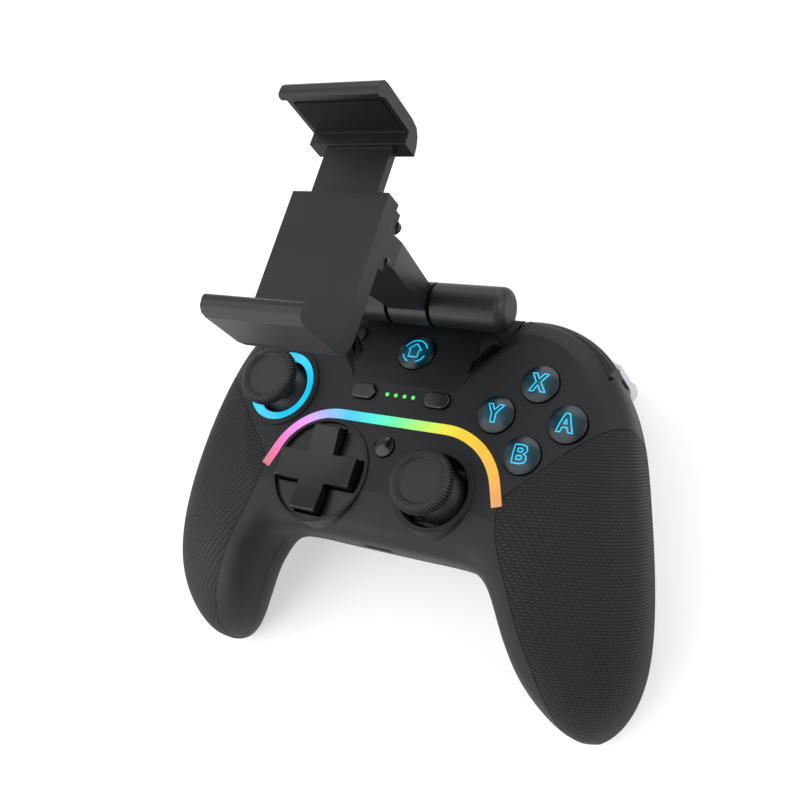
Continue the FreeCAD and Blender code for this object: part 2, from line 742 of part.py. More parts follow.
# Rear shell: posts, standoffs for the board, battery tray, motor cradles and bosses for the saddle screws
rear_adds = list(rear_posts)
board_screws = []
for x0, y0 in standoffs:
    for x in (x0, -x0):
        rear_adds.append(rod(standoff_radius, (x, y0, -60.0), (x, y0, board_bottom)))
        post_bores.append(rod(board_screw_radius + running_fit,
                              (x, y0, board_bottom - 5.0), (x, y0, board_bottom)))
        head = rod(board_screw_head, (x, y0, board_top), (x, y0, board_top + 1.0))
        shank = rod(board_screw_radius, (x, y0, board_bottom - 4.7), (x, y0, board_top))
        board_screws.append(head.fuse(shank))
parts["board_screws"] = Part.makeCompound(board_screws)
battery_back = battery_y + battery_width / 2
battery_front = battery_y - battery_width / 2
for x in (-battery_length / 2 + 2 * tray_rib, battery_length / 2 - 2 * tray_rib):
    rear_adds.append(box(x - tray_rib, x + tray_rib, battery_front, battery_back, -60.0, battery_floor))
for side in (-1, 1):
    edge = side * (battery_length / 2 + clearance)
    rear_adds.append(box(min(edge, edge + side * tray_rib), max(edge, edge + side * tray_rib),
                         battery_front, battery_back, -60.0, battery_floor + battery_thickness / 2))
    for y in (motor_y - motor_length / 4, motor_y + motor_length / 4):
        saddle_block = box(motor_x - motor_radius - 1.5, motor_x + motor_radius + 1.5,
                           y - cradle_thickness / 2, y + cradle_thickness / 2, -60.0, motor_z)
        if side < 0:
            saddle_block = mirrored(saddle_block)
        rear_adds.append(saddle_block)
        post_bores.append(rod(motor_radius + running_fit, (side * motor_x, motor_y - 30.0, motor_z),
                              (side * motor_x, motor_y + 30.0, motor_z)))
    x = side * saddle_screw_x
    rear_adds.append(rod(boss_radius, (x, saddle_screw_y, -60.0), (x, saddle_screw_y, -26.0)))
    post_bores.append(rod(screw_radius + running_fit, (x, saddle_screw_y, -60.0), (x, saddle_screw_y, -27.0)))
rear_adds = [add.common(solid_inside) for add in rear_adds]
parts["rear_shell"] = rear_shell.multiFuse(rear_adds).cut(post_bores)

# Buttons
def button(radius, edge, top, stem_end):
    """Domed round button about the origin, with its flange and stem."""
    flange_top = -wall - flange_gap
    flange_bottom = flange_top - button_flange_thickness
    cap = dome_cap(radius, edge, top, flange_bottom)
    flange = rod(radius + button_flange, (0, 0, flange_bottom), (0, 0, flange_top))
    stem = rod(stem_radius, (0, 0, stem_end), (0, 0, flange_bottom))
    return fuse_all([cap, flange, stem])


face_stem_end = dome_top + face_button_travel + press_gap
small_stem_end = dome_top + small_travel + press_gap
for name, (x, y) in face_buttons.items():
    parts[name] = moved(button(face_button_radius, face_button_edge, face_button_dome, face_stem_end), x, y)
capture_button = button(round_button_radius, round_button_edge, round_button_dome, small_stem_end)
parts["capture_button"] = moved(capture_button, 0.0, round_button_y)
home_stem_end = small_stem_end + 2.9
parts["home_button"] = on_valley(button(home_radius, home_edge, home_dome, home_stem_end))
for name, side in (("select_button", -1), ("start_button", 1)):
    flange_top = -wall - flange_gap
    flange_bottom = flange_top - button_flange_thickness
    x = side * pill_offset
    cap = pill(x, pill_y, pill_length, pill_width, flange_bottom, pill_height)
    cap = rounded(cap, 0.5, lambda edge: edge.BoundBox.ZMin > pill_height - 0.01)
    flange = pill(x, pill_y, pill_length + 2 * button_flange, pill_width + 2 * button_flange,
                  flange_bottom, flange_top)
    stem = rod(stem_radius, (x, pill_y, small_stem_end), (x, pill_y, flange_bottom))
    parts[name] = fuse_all([cap, flange, stem])

# Rubber membrane with a dome under every button
dome_spots = list(face_buttons.values())
dome_spots += [(0.0, round_button_y), (-pill_offset, pill_y), (pill_offset, pill_y)]
sheet = []
for x, y in dome_spots:
    sheet.append(rod(membrane_dome_radius + 1.4, (x, y, board_top), (x, y, board_top + membrane_thickness)))
    sheet.append(Part.makeCone(membrane_dome_radius, stem_radius, membrane_dome_height,
                               Vector(x, y, board_top + membrane_thickness), Vector(0, 0, 1)))
strip_half = 2.0
sheet_top = board_top + membrane_thickness
left_face = stick_x - face_button_offset
right_face = stick_x + face_button_offset
low_face = stick_y - face_button_offset
high_face = stick_y + face_button_offset
sheet.append(box(left_face, right_face, stick_y - strip_half, stick_y + strip_half, board_top, sheet_top))
sheet.append(box(stick_x - strip_half, stick_x + strip_half, low_face, high_face, board_top, sheet_top))
sheet.append(box(-pill_offset, left_face, pill_y - strip_half, pill_y + strip_half, board_top, sheet_top))
sheet.append(box(-strip_half, strip_half, round_button_y, pill_y, board_top, sheet_top))
home_y_low = home_y - 1.9
sheet.append(rod(membrane_dome_radius + 1.4, (0, home_y_low, board_top), (0, home_y_low, sheet_top)))
sheet.append(box(-strip_half, strip_half, pill_y, home_y_low, board_top, sheet_top))
sheet.append(Part.makeCone(membrane_dome_radius, stem_radius, membrane_dome_height,
                           Vector(0, home_y_low, sheet_top), Vector(0, 0, 1)))
membrane = fuse_all(sheet).cut(shoulder_pocket(pocket_wall + clearance))
pad_ring = tube(dpad_prong + 2.6, post_foot_radius + 1.4, (-low_group_x, low_group_y, board_top),
                (-low_group_x, low_group_y, sheet_top))
pad_domes = []
for turn in range(4):
    angle = math.radians(90 * turn)
    x = -low_group_x + dpad_prong * math.cos(angle)
    y = low_group_y + dpad_prong * math.sin(angle)
    pad_domes.append(Part.makeCone(2.2, 1.3, membrane_dome_height, Vector(x, y, sheet_top), Vector(0, 0, 1)))
parts["button_membrane"] = Part.makeCompound([membrane, fuse_all([pad_ring] + pad_domes)])

# D-pad: dish, cross, two-axis rocker and its post
def cross_bar(half_span, half_width, z0, z1):
    """Cross about the d-pad's centre."""
    along = box(-half_span, half_span, -half_width, half_width, z0, z1)
    across = box(-half_width, half_width, -half_span, half_span, z0, z1)
    return moved(fuse_all([along, across]), -low_group_x, low_group_y)


def at_dpad(r, z):
    """Point above the d-pad's centre, r along X."""
    return (-low_group_x + r, low_group_y, z)


def on_dpad(r, z):
    """Point above the d-pad's centre, r along Y."""
    return (-low_group_x, low_group_y + r, z)


dish = rod(dish_radius, at_dpad(0, dish_seat), at_dpad(0, -dish_depth))
parts["dpad_dish"] = dish.cut(cross_bar(dpad_span / 2 + dpad_gap, dpad_arm / 2 + dpad_gap, low, high))
cross = cross_bar(dpad_span / 2, dpad_arm / 2, dpad_bottom, dpad_height)
cross = rounded(cross, 0.8, lambda edge: edge.BoundBox.ZMin > dpad_height - 0.01)
hollow_radius = (dpad_span / 2) ** 2 / (2 * dpad_hollow) + dpad_hollow / 2
thumb = Part.makeSphere(hollow_radius, Vector(-low_group_x, low_group_y,
                                              dpad_height - dpad_hollow + hollow_radius))
cross = cross.cut(thumb)
skirt = tube(dpad_skirt_outer, dpad_skirt_inner, at_dpad(0, dpad_skirt_bottom), at_dpad(0, dpad_bottom))
prong_end = dome_top + dpad_prong * math.sin(math.radians(dpad_tilt)) + 2 * press_gap
prongs = []
for turn in range(4):
    angle = math.radians(90 * turn)
    x = -low_group_x + dpad_prong * math.cos(angle)
    y = low_group_y + dpad_prong * math.sin(angle)
    prongs.append(rod(dpad_prong_radius, (x, y, prong_end), (x, y, dpad_bottom)))
dpad = fuse_all([cross, skirt] + prongs)
dpad = dpad.cut(rod(rocker_pin_radius + running_fit, on_dpad(-dpad_skirt_outer - 1, dpad_pivot_z),
                    on_dpad(dpad_skirt_outer + 1, dpad_pivot_z)))
parts["dpad"] = dpad
rocker_ring = tube(rocker_outer, rocker_inner, at_dpad(0, dpad_pivot_z - rocker_half_height),
                   at_dpad(0, dpad_pivot_z + rocker_half_height))
rocker_pin = rod(rocker_pin_radius, at_dpad(-rocker_outer + 0.4, dpad_pivot_z),
                 at_dpad(rocker_outer - 0.4, dpad_pivot_z))
trunnions = [rod(rocker_pin_radius, on_dpad(side * (rocker_inner + 0.6), dpad_pivot_z),
                 on_dpad(side * (dpad_skirt_outer - 0.3), dpad_pivot_z)) for side in (-1, 1)]
parts["dpad_rocker"] = fuse_all([rocker_ring, rocker_pin] + trunnions)
post = fuse_all([rod(post_foot_radius, at_dpad(0, board_top), at_dpad(0, board_top + 1.0)),
                 rod(post_radius, at_dpad(0, board_top), at_dpad(0, dpad_pivot_z + 1.1))])
parts["dpad_post"] = post.cut(rod(rocker_pin_radius + running_fit, at_dpad(-5.0, dpad_pivot_z),
                                  at_dpad(5.0, dpad_pivot_z)))

# Sticks: cap with its shaft, gimbal ring, sliding frame and module, all about the stick's own axis
def stick_cap():
    """Thumb cap, neck, spherical skirt, shaft, ball and cross pin."""
    profile = [(0.0, cap_top - cap_disc_drop), (cap_disc_radius, cap_top - cap_disc_drop),
               (cap_disc_radius + 0.5, cap_top), (cap_radius - 0.7, cap_top), (cap_radius, cap_top - 0.8),
               (cap_radius, cap_bottom + 0.9), (cap_radius - 0.9, cap_bottom),
               (cap_neck_radius + 0.8, cap_bottom - 0.4),
               (cap_neck_radius, cap_bottom - 1.4), (cap_neck_radius, -0.6), (0.0, -0.6)]
    head = turned(profile)
    pivot = Vector(0, 0, stick_pivot_z)
    edge = math.radians(skirt_angle)
    ball_outer = Part.makeSphere(skirt_radius, pivot)
    ball_inner = Part.makeSphere(skirt_radius - skirt_wall, pivot)
    reach = 2 * skirt_radius
    cone = Part.makeCone(0.0, reach * math.tan(edge), reach, pivot, Vector(0, 0, 1))
    skirt = ball_outer.cut(ball_inner).common(cone)
    shaft = rod(shaft_radius, (0, 0, stick_pivot_z - 1.0), (0, 0, -0.6))
    ball = Part.makeSphere(ball_radius, pivot)
    pin = rod(cross_pin_radius, (0, -ring_outer + 0.4, stick_pivot_z), (0, ring_outer - 0.4, stick_pivot_z))
    return fuse_all([head, skirt, shaft, ball, pin])


def stick_gimbal():
    """Ring that tilts about X in the frame and carries the stick's cross pin."""
    ring = tube(ring_outer, ring_inner, (0, 0, stick_pivot_z - ring_half_height),
                (0, 0, stick_pivot_z + ring_half_height))
    ring = ring.cut(rod(cross_pin_radius + running_fit, (0, -8, stick_pivot_z), (0, 8, stick_pivot_z)))
    end = frame_inner_half + frame_wall - 0.2
    start = ring_inner + 0.7
    pins = [rod(trunnion_radius, (side * start, 0, stick_pivot_z), (side * end, 0, stick_pivot_z))
            for side in (-1, 1)]
    return fuse_all([ring] + pins)


def stick_frame():
    """Square frame that slides down in the module when the stick is clicked."""
    half = frame_inner_half + frame_wall
    z0 = stick_pivot_z - frame_half_height
    z1 = stick_pivot_z + frame_half_height
    frame = box(-half, half, -half, half, z0, z1)
    frame = frame.cut(box(-frame_inner_half, frame_inner_half, -frame_inner_half, frame_inner_half, z0, z1))
    return frame.cut(rod(trunnion_radius + running_fit, (-9, 0, stick_pivot_z), (9, 0, stick_pivot_z)))


def stick_module():
    """Housing of the stick on the board, with a sensor can on two sides."""
    recess = frame_inner_half + frame_wall + module_play
    half = recess + module_wall
    z1 = stick_pivot_z + module_rim
    body = box(-half, half, -half, half, board_top, z1)
    body = body.common(rod(module_corner_radius, (0, 0, board_top), (0, 0, z1)))
    body = body.cut(box(-recess, recess, -recess, recess, stick_pivot_z - module_recess_drop, z1))
    cans = [box(half, half + pot_depth, -pot_half, pot_half, board_top, stick_pivot_z + 1.0),
            box(-pot_half, pot_half, -half - pot_depth, -half, board_top, stick_pivot_z + 1.0)]
    return fuse_all([body] + cans)


stick_places = {"left_stick": (-stick_x, stick_y), "right_stick": (low_group_x, low_group_y)}
for name, (x, y) in stick_places.items():
    parts[name + "_cap"] = moved(stick_cap(), x, y)
    parts[name + "_gimbal"] = moved(stick_gimbal(), x, y)
    parts[name + "_frame"] = moved(stick_frame(), x, y)
    parts[name + "_module"] = moved(stick_module(), x, y)

# Circuit board, battery and USB port
board = box(-board_half, board_half, board_front_y, board_back_y, board_bottom, board_top)
board = board.common(body_loft(wall + 0.5, cavity_stations))
tight_pocket = shoulder_pocket(wall + 0.5)
board = board.cut([tight_pocket, mirrored(tight_pocket)])
board_holes = []
for x0, y0, joint_z, seat_z in SCREWS:
    board_holes += [rod(boss_radius + clearance, (x, y0, -60), (x, y0, 0)) for x in (x0, -x0)]
for x0, y0 in standoffs:
    board_holes += [rod(board_screw_radius + running_fit, (x, y0, -60), (x, y0, 0)) for x in (x0, -x0)]
parts["main_board"] = board.cut(board_holes)
battery = box(-battery_length / 2, battery_length / 2, battery_front, battery_back,
              battery_floor, battery_floor + battery_thickness)
parts["battery"] = rounded(battery, 1.5, lambda edge: abs(edge.BoundBox.ZLength) > battery_thickness - 0.01)
port_front = STATIONS[0][1] + 0.2
port = pill(0, 0, port_width, port_height, 0, port_depth)
port_hollow = pill(0, 0, port_width - 2 * port_wall, port_height - 2 * port_wall,
                   0, port_depth - port_wall)
port = port.cut(port_hollow)
tongue = box(-2.6, 2.6, -0.35, 0.35, 1.0, port_depth - port_wall)
port = port.fuse(tongue)
port.rotate(Vector(0, 0, 0), Vector(1, 0, 0), -90)
port.translate(Vector(0, port_front, port_z))
parts["usb_port"] = port

# Rumble motors and their eccentric weights, turning about Y
motor = rod(motor_radius, (motor_x, motor_y - motor_length / 2, motor_z),
            (motor_x, motor_y + motor_length / 2, motor_z))
motor_end = motor_y - motor_length / 2
motor = motor.cut(rod(motor_shaft_radius + running_fit, (motor_x, motor_end, motor_z),
                      (motor_x, motor_end + motor_shaft_length, motor_z)))
weight_start = motor_end - weight_gap
shaft = rod(motor_shaft_radius, (motor_x, weight_start - weight_length, motor_z),
            (motor_x, motor_end + motor_shaft_length - clearance, motor_z))
weight = rod(weight_radius, (motor_x, weight_start - weight_length, motor_z),
             (motor_x, weight_start, motor_z))
weight = weight.cut(box(motor_x - 20, motor_x + 20, motor_y - 40, motor_y + 40, motor_z + 1.6, motor_z + 20))
parts["right_rumble_motor"] = motor
parts["left_rumble_motor"] = mirrored(motor)
parts["right_rumble_weight"] = shaft.fuse(weight)
parts["left_rumble_weight"] = mirrored(parts["right_rumble_weight"])

# Shoulder controls, modelled in the shoulder frame
frame_half = 16.1
frame_back = trigger_pocket_back + 0.2
shelf_front = -1.0
shelf_bottom = shelf_top - shelf_thickness
frame_low = -24.0
back_plate = box(-frame_half, frame_half, frame_back, frame_back + 1.4, frame_low, shelf_top)
shelf = box(-frame_half, frame_half, frame_back, shelf_front, shelf_bottom, shelf_top)
ears = []
for start in (trigger_inner_ear, trigger_outer_ear):
    end = start + trigger_ear_thickness
    ears.append(box(start, end, frame_back, trigger_pin_y,
                    trigger_pin_z - trigger_ear_radius, shelf_top - 0.6))
    ears.append(rod(trigger_ear_radius, (start, trigger_pin_y, trigger_pin_z),
                    (end, trigger_pin_y, trigger_pin_z)))
shoulder_frame = fuse_all([back_plate, shelf] + ears)
trigger_pin_end = trigger_outer_ear + trigger_ear_thickness
trigger_axis = ((trigger_inner_ear, trigger_pin_y, trigger_pin_z),
                (trigger_pin_end, trigger_pin_y, trigger_pin_z))
shoulder_frame = shoulder_frame.cut(rod(trigger_pin_radius + running_fit, *trigger_axis))
bumper_pin_x = bumper_start + bumper_pin_inset
shoulder_frame = shoulder_frame.cut(rod(bumper_pin_radius + running_fit, (bumper_pin_x, bumper_pin_back, -20),
                                        (bumper_pin_x, bumper_pin_back, 0)))
trigger_pin = rod(trigger_pin_radius, *trigger_axis)
bumper_top = lip_bottom - 0.4
bumper_pin = rod(bumper_pin_radius, (bumper_pin_x, bumper_pin_back, shelf_bottom),
                 (bumper_pin_x, bumper_pin_back, bumper_top))

bumper_bottom = shelf_top + clearance
bumper_finish = bumper_start + bumper_length
bumper_middle = (bumper_start + bumper_finish) / 2
arc = Part.Arc(Vector(bumper_start, bumper_end, bumper_bottom),
               Vector(bumper_middle, bumper_bulge, bumper_bottom),
               Vector(bumper_finish, bumper_end, bumper_bottom)).toShape()
rest = Part.makePolygon([Vector(bumper_finish, bumper_end, bumper_bottom),
                         Vector(bumper_finish, bumper_back, bumper_bottom),
                         Vector(bumper_start, bumper_back, bumper_bottom),
                         Vector(bumper_start, bumper_end, bumper_bottom)])
bumper = Part.Face(Part.Wire([arc] + rest.Edges)).extrude(Vector(0, 0, bumper_top - bumper_bottom))
bumper = rounded(bumper, bumper_edge_round,
                 lambda edge: edge.BoundBox.YMin > -0.1 and edge.BoundBox.XLength > 20)
bumper = bumper.cut(rod(bumper_pin_radius + running_fit, (bumper_pin_x, bumper_pin_back, -20),
                        (bumper_pin_x, bumper_pin_back, 0)))
switch_x = 10.0
switch = box(switch_x - 2.2, switch_x + 2.2, bumper_pocket_back, bumper_pocket_back + 0.9, -9.6, -6.4)

front_curve = Part.BSplineCurve()
front_curve.interpolate([Vector(-20, y, z) for y, z in TRIGGER_FRONT])
back_curve = Part.BSplineCurve()
back_curve.interpolate([Vector(-20, y, z) for y, z in TRIGGER_BACK])
closing = [(TRIGGER_FRONT[-1], TRIGGER_BACK[0])]
hub_line = [TRIGGER_BACK[-1]] + TRIGGER_HUB + [TRIGGER_FRONT[0]]
closing += list(zip(hub_line, hub_line[1:]))
lines = [Part.makeLine(Vector(-20, a[0], a[1]), Vector(-20, b[0], b[1])) for a, b in closing]
side_wire = Part.Wire(Part.__sortEdges__([front_curve.toShape(), back_curve.toShape()] + lines))
trigger = Part.Face(side_wire).extrude(Vector(40, 0, 0))
width_corners = [Vector(x, -30, z) for x, z in TRIGGER_WIDTH]
width_prism = Part.Face(Part.makePolygon(width_corners + [width_corners[0]])).extrude(Vector(0, 60, 0))
trigger = trigger.common(width_prism).common(prism(TRIGGER_PLAN, -60.0, 0.0))
hub_start = trigger_inner_ear + trigger_ear_thickness + clearance
hub_end = trigger_outer_ear - clearance
for x0, x1 in ((-40, hub_start), (hub_end, 40)):
    trigger = trigger.cut(box(x0, x1, -20, 1.5, frame_low, 0))
spring_start = -4.0
spring_end = 1.0
slot_reach = 2.9
slot_depth = 3.2
trigger = trigger.cut(box(spring_start, spring_end, -20, trigger_pin_y + slot_reach,
                          trigger_pin_z - slot_depth, 0))
trigger = trigger.cut(rod(trigger_pin_radius + running_fit, (-40, trigger_pin_y, trigger_pin_z),
                          (40, trigger_pin_y, trigger_pin_z)))
wire_radius = 0.3
coil_radius = trigger_pin_radius + wire_radius + 0.3
coil_turns = 3
coil_pitch = 1.2
helix = Part.makeHelix(coil_pitch, coil_pitch * coil_turns, coil_radius)
profile = Part.Wire([Part.makeCircle(wire_radius, Vector(coil_radius, 0, 0), Vector(0, 1, 0))])
coil = Part.Wire(helix.Edges).makePipeShell([profile], True, True)
coil.rotate(Vector(0, 0, 0), Vector(0, 1, 0), 90)
coil.translate(Vector(spring_start + 0.6, trigger_pin_y, trigger_pin_z))
leg_x = spring_start + 0.6
leg = rod(wire_radius, (leg_x, trigger_pin_y, trigger_pin_z - coil_radius),
          (leg_x, frame_back + 1.4 + wire_radius, trigger_pin_z - coil_radius))
spring = coil.fuse(leg)

shoulder_pieces = {"shoulder_frame": shoulder_frame, "bumper": bumper, "trigger": trigger}
for name, shape in shoulder_pieces.items():
    placed = to_shoulder(shape)
    if name == "bumper":
        placed = placed.cut(valley_tool(0.0))
    parts["right_" + name] = placed
    parts["left_" + name] = mirrored(placed)
grouped = {"shoulder_pins": [trigger_pin, bumper_pin],
           "shoulder_switches": [switch],
           "trigger_springs": [spring]}
for name, shapes in grouped.items():
    placed = [to_shoulder(shape) for shape in shapes]
    parts[name] = Part.makeCompound(placed + [mirrored(shape) for shape in placed])

# Clip: saddle round the back of the body, hinge, arm and jaws
saddle = fuse_all([box(-saddle_half, saddle_half, 30.0, saddle_back_y, saddle_bottom, hinge_z),
                   box(-saddle_half, saddle_half, saddle_shelf_y, saddle_back_y, saddle_bottom, -28.0)])
saddle = rounded(saddle, 3.0, lambda edge: edge.BoundBox.YMin > saddle_back_y - 0.01
                 and edge.BoundBox.ZMax < saddle_bottom + 0.01)
saddle = saddle.cut(body_loft(-saddle_gap))
saddle = saddle.cut(box(-100, 100, -100, hinge_y + 1.6, -10.0, 20.0))
saddle = cut_body(saddle)
barrel_start = knuckle_half + washer_thickness + 2 * washer_play
for side in (-1, 1):
    saddle = saddle.fuse(rod(hinge_barrel_radius, (side * barrel_start, hinge_y, hinge_z),
                             (side * (hinge_half_width - hinge_cap_length + 3.0), hinge_y, hinge_z)))
slot = box(-barrel_start, barrel_start, 0, 60, -0.6, 20)
saddle = saddle.cut(slot)
saddle = saddle.cut(rod(hinge_pin_radius + running_fit, (-60, hinge_y, hinge_z), (60, hinge_y, hinge_z)))
for side in (-1, 1):
    x = side * saddle_screw_x
    saddle = saddle.cut([rod(screw_radius + clearance, (x, saddle_screw_y, -60), (x, saddle_screw_y, -20)),
                         rod(screw_head_radius + clearance, (x, saddle_screw_y, -60),
                             (x, saddle_screw_y, saddle_bottom + screw_head_height + 0.4))])
parts["clip_saddle"] = saddle
saddle_screws = []
for side in (-1, 1):
    x = side * saddle_screw_x
    seat = saddle_bottom + screw_head_height + 0.4
    head = rod(screw_head_radius, (x, saddle_screw_y, seat - screw_head_height), (x, saddle_screw_y, seat))
    saddle_screws.append(head.fuse(rod(screw_radius, (x, saddle_screw_y, seat), (x, saddle_screw_y, -27.3))))
parts["saddle_screws"] = Part.makeCompound(saddle_screws)

barrel_end = hinge_half_width - hinge_cap_length + 3.0
parts["clip_hinge_pin"] = rod(hinge_pin_radius, (-barrel_end, hinge_y, hinge_z),
                              (barrel_end, hinge_y, hinge_z))
caps = []
washers = []
for side in (-1, 1):
    start = Vector(side * barrel_end, hinge_y, hinge_z)
    cap = Part.makeCylinder(hinge_barrel_radius, hinge_cap_length, start, Vector(side, 0, 0))
    cap = rounded(cap, hinge_cap_round,
                  lambda edge: abs(edge.BoundBox.XMin - side * (barrel_end + hinge_cap_length)) < 0.1
                  and edge.BoundBox.XLength < 0.1)
    caps.append(cap)
    washers.append(tube(washer_radius, hinge_pin_radius + running_fit,
                        (side * (knuckle_half + washer_play), hinge_y, hinge_z),
                        (side * (knuckle_half + washer_play + washer_thickness), hinge_y, hinge_z)))
parts["hinge_caps"] = Part.makeCompound(caps)
parts["friction_washers"] = Part.makeCompound(washers)

arm_top_y = hinge_y - 3.6
arm_side = side_profile([(hinge_y - arm_thickness / 2, hinge_z), (hinge_y + arm_thickness / 2, hinge_z),
                         (arm_top_y + arm_thickness / 2, plate_bottom),
                         (arm_top_y - arm_thickness / 2, plate_bottom)],
                        -20.0, 20.0)
neck_z = hinge_z + hinge_barrel_radius + 1.5
arm_front = [Vector(x, 0, z) for x, z in ((-knuckle_half, 0), (knuckle_half, 0), (knuckle_half, neck_z),
                                          (arm_top_half, plate_bottom - 12), (arm_top_half, plate_bottom),
                                          (-arm_top_half, plate_bottom), (-arm_top_half, plate_bottom - 12),
                                          (-knuckle_half, neck_z))]
arm_width = Part.Face(Part.makePolygon(arm_front + [arm_front[0]])).extrude(Vector(0, 60, 0))
knuckle = rod(hinge_barrel_radius, (-knuckle_half, hinge_y, hinge_z), (knuckle_half, hinge_y, hinge_z))
flange = box(-flange_half, flange_half, flange_start_y, flange_end_y,
             plate_bottom - flange_thickness, plate_bottom)
arm = fuse_all([arm_side.common(arm_width), knuckle, flange])
arm = arm.cut(rod(hinge_pin_radius + running_fit, (-20, hinge_y, hinge_z), (20, hinge_y, hinge_z)))
clip_screws = []
clip_bores = []
for x in (-clip_screw_x, clip_screw_x):
    for y in (flange_start_y + 3.0, flange_end_y - 3.0):
        seat = plate_bottom - flange_thickness
        head_radius = screw_head_radius - 0.5
        head = rod(head_radius, (x, y, seat - screw_head_height), (x, y, seat))
        clip_screws.append(head.fuse(rod(screw_radius, (x, y, seat), (x, y, plate_bottom + 3.2))))
        clip_bores.append(rod(screw_radius + running_fit, (x, y, seat - 1), (x, y, plate_bottom + 3.5)))
        head_floor = seat - screw_head_height - clearance
        clip_bores.append(rod(head_radius + clearance, (x, y, head_floor), (x, y, seat)))
parts["clip_arm"] = arm.cut(clip_bores)
parts["clip_screws"] = Part.makeCompound(clip_screws)

tongue_middle = plate_bottom + plate_thickness / 2
channel_half = tongue_thickness / 2 + tongue_play
lower_profile = [(0.6, 58.0), (0.6, 71.8), (1.0, 73.7), (2.2, 74.9), (3.8, 75.2), (4.9, 75.1), (5.5, 74.5),
                 (5.5, 73.2),
                 (4.2, 71.4), (4.2, plate_top), (plate_end_y, plate_top), (plate_end_y, plate_bottom),
                 (8.0, plate_bottom), (5.2, 52.3), (2.9, 53.2), (1.2, 54.9)]
lower_jaw = side_profile(lower_profile, -clip_half_width, clip_half_width)
lower_jaw = lower_jaw.cut(box(-tongue_half - tongue_play, tongue_half + tongue_play, channel_start_y, 60,
                              tongue_middle - channel_half, tongue_middle + channel_half))
pad_low = plate_top + pad_margin
pad_high = jaw_top - jaw_lip_height - pad_margin
pad_half = clip_half_width - pad_margin
seat_y = lower_jaw_inner - pad_inset
lower_jaw = lower_jaw.cut(box(-pad_half, pad_half, seat_y, seat_y + 5, pad_low, pad_high).common(
    box(-pad_half, pad_half, seat_y, lower_jaw_inner + 0.01, pad_low, pad_high)))
parts["lower_jaw"] = lower_jaw.cut(clip_bores)
parts["lower_jaw_pad"] = box(-pad_half, pad_half, seat_y, seat_y + pad_thickness, pad_low, pad_high)
mid_gap = lower_jaw_y + jaw_wall + jaw_gap + jaw_wall + lower_jaw_y


def flipped(y):
    """Mirror image of a lower jaw's y on the upper jaw."""
    return mid_gap - y


upper_profile = [(flipped(y), z) for y, z in lower_profile[:9]]
upper_profile += [(flipped(4.2), plate_top), (flipped(4.2) - jaw_foot, plate_top),
                  (flipped(4.2) - jaw_foot, plate_bottom), (flipped(5.2), 52.3),
                  (flipped(2.9), 53.2), (flipped(1.2), 54.9)]
upper_jaw = side_profile(upper_profile, -clip_half_width, clip_half_width)
tongue = box(-tongue_half, tongue_half, tongue_start_y, upper_jaw_inner, tongue_middle - tongue_thickness / 2,
             tongue_middle + tongue_thickness / 2)
upper_jaw = upper_jaw.fuse(tongue)
seat_y = upper_jaw_inner + pad_inset
upper_jaw = upper_jaw.cut(box(-pad_half, pad_half, upper_jaw_inner - 0.01, seat_y, pad_low, pad_high))
parts["upper_jaw"] = upper_jaw
parts["upper_jaw_pad"] = box(-pad_half, pad_half, seat_y - pad_thickness, seat_y, pad_low, pad_high)

# Written with the gamepad standing on its grips, and the middle of its length at y = 0
tip_front = STATIONS[-1][1]
jaw_back = flipped(lower_jaw_y)
middle_y = (tip_front + jaw_back) / 2
for name, shape in parts.items():
    lifted = shape.copy()
    lifted.translate(Vector(0, -middle_y, face_height))
    lifted.exportStep("parts/" + name + ".step")
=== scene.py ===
"""Gamepad with a tilting device clip: looks for the CAD model, laid out as a Blender add-on."""
import json
import math

import bmesh
import bpy
from bpy.props import FloatProperty, FloatVectorProperty, IntProperty, PointerProperty
from mathutils import Matrix, Vector
from mathutils.bvhtree import BVHTree


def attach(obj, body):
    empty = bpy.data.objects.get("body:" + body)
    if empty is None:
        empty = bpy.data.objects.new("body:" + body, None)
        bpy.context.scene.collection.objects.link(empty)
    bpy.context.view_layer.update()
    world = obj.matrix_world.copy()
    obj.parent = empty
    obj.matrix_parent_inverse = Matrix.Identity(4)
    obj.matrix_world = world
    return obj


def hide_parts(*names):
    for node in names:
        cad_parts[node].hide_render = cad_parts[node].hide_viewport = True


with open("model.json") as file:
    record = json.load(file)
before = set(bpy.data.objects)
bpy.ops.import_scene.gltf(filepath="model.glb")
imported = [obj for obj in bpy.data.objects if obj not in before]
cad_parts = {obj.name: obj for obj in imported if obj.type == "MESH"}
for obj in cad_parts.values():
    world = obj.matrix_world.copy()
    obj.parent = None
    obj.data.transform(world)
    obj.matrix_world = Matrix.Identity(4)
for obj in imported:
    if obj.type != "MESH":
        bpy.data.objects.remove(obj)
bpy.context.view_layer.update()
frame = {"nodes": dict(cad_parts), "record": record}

bl_info = {
    "name": "Gamepad with Device Clip",
    "version": (1, 0, 0),
    "blender": (4, 5, 0),
    "location": "View3D > Sidebar > Gamepad",
    "description": "Adds the finishes and the fine pieces of a gamepad round its CAD frame",
    "category": "Add Mesh",
}

# Placing in metres: height of the flat of the face over the table, and how far back its middle lies
FACE_HEIGHT = 0.052
MIDDLE_SHIFT = 0.0007

# Centres of the controls on the face, in millimetres
FACE_BUTTONS = {"button_a": (52.1, 9.8), "button_b": (41.7, -0.6),
                "button_x": (41.7, 20.2), "button_y": (31.3, 9.8)}
STICKS = {"left": (-41.7, 9.8), "right": (18.9, -14.2)}
HOME_CENTRE = (0.0, 26.3)

# Camera of the photograph, in metres, and the direction of its picture
CAMERA_SPOT = (0.143593, -0.067562, 0.291974)
CAMERA_RIGHT = (0.863, 0.281, -0.421)
CAMERA_AHEAD = (-0.492, 0.270, -0.828)
CAMERA_LENS = 44.86
SENSOR_WIDTH = 36.0

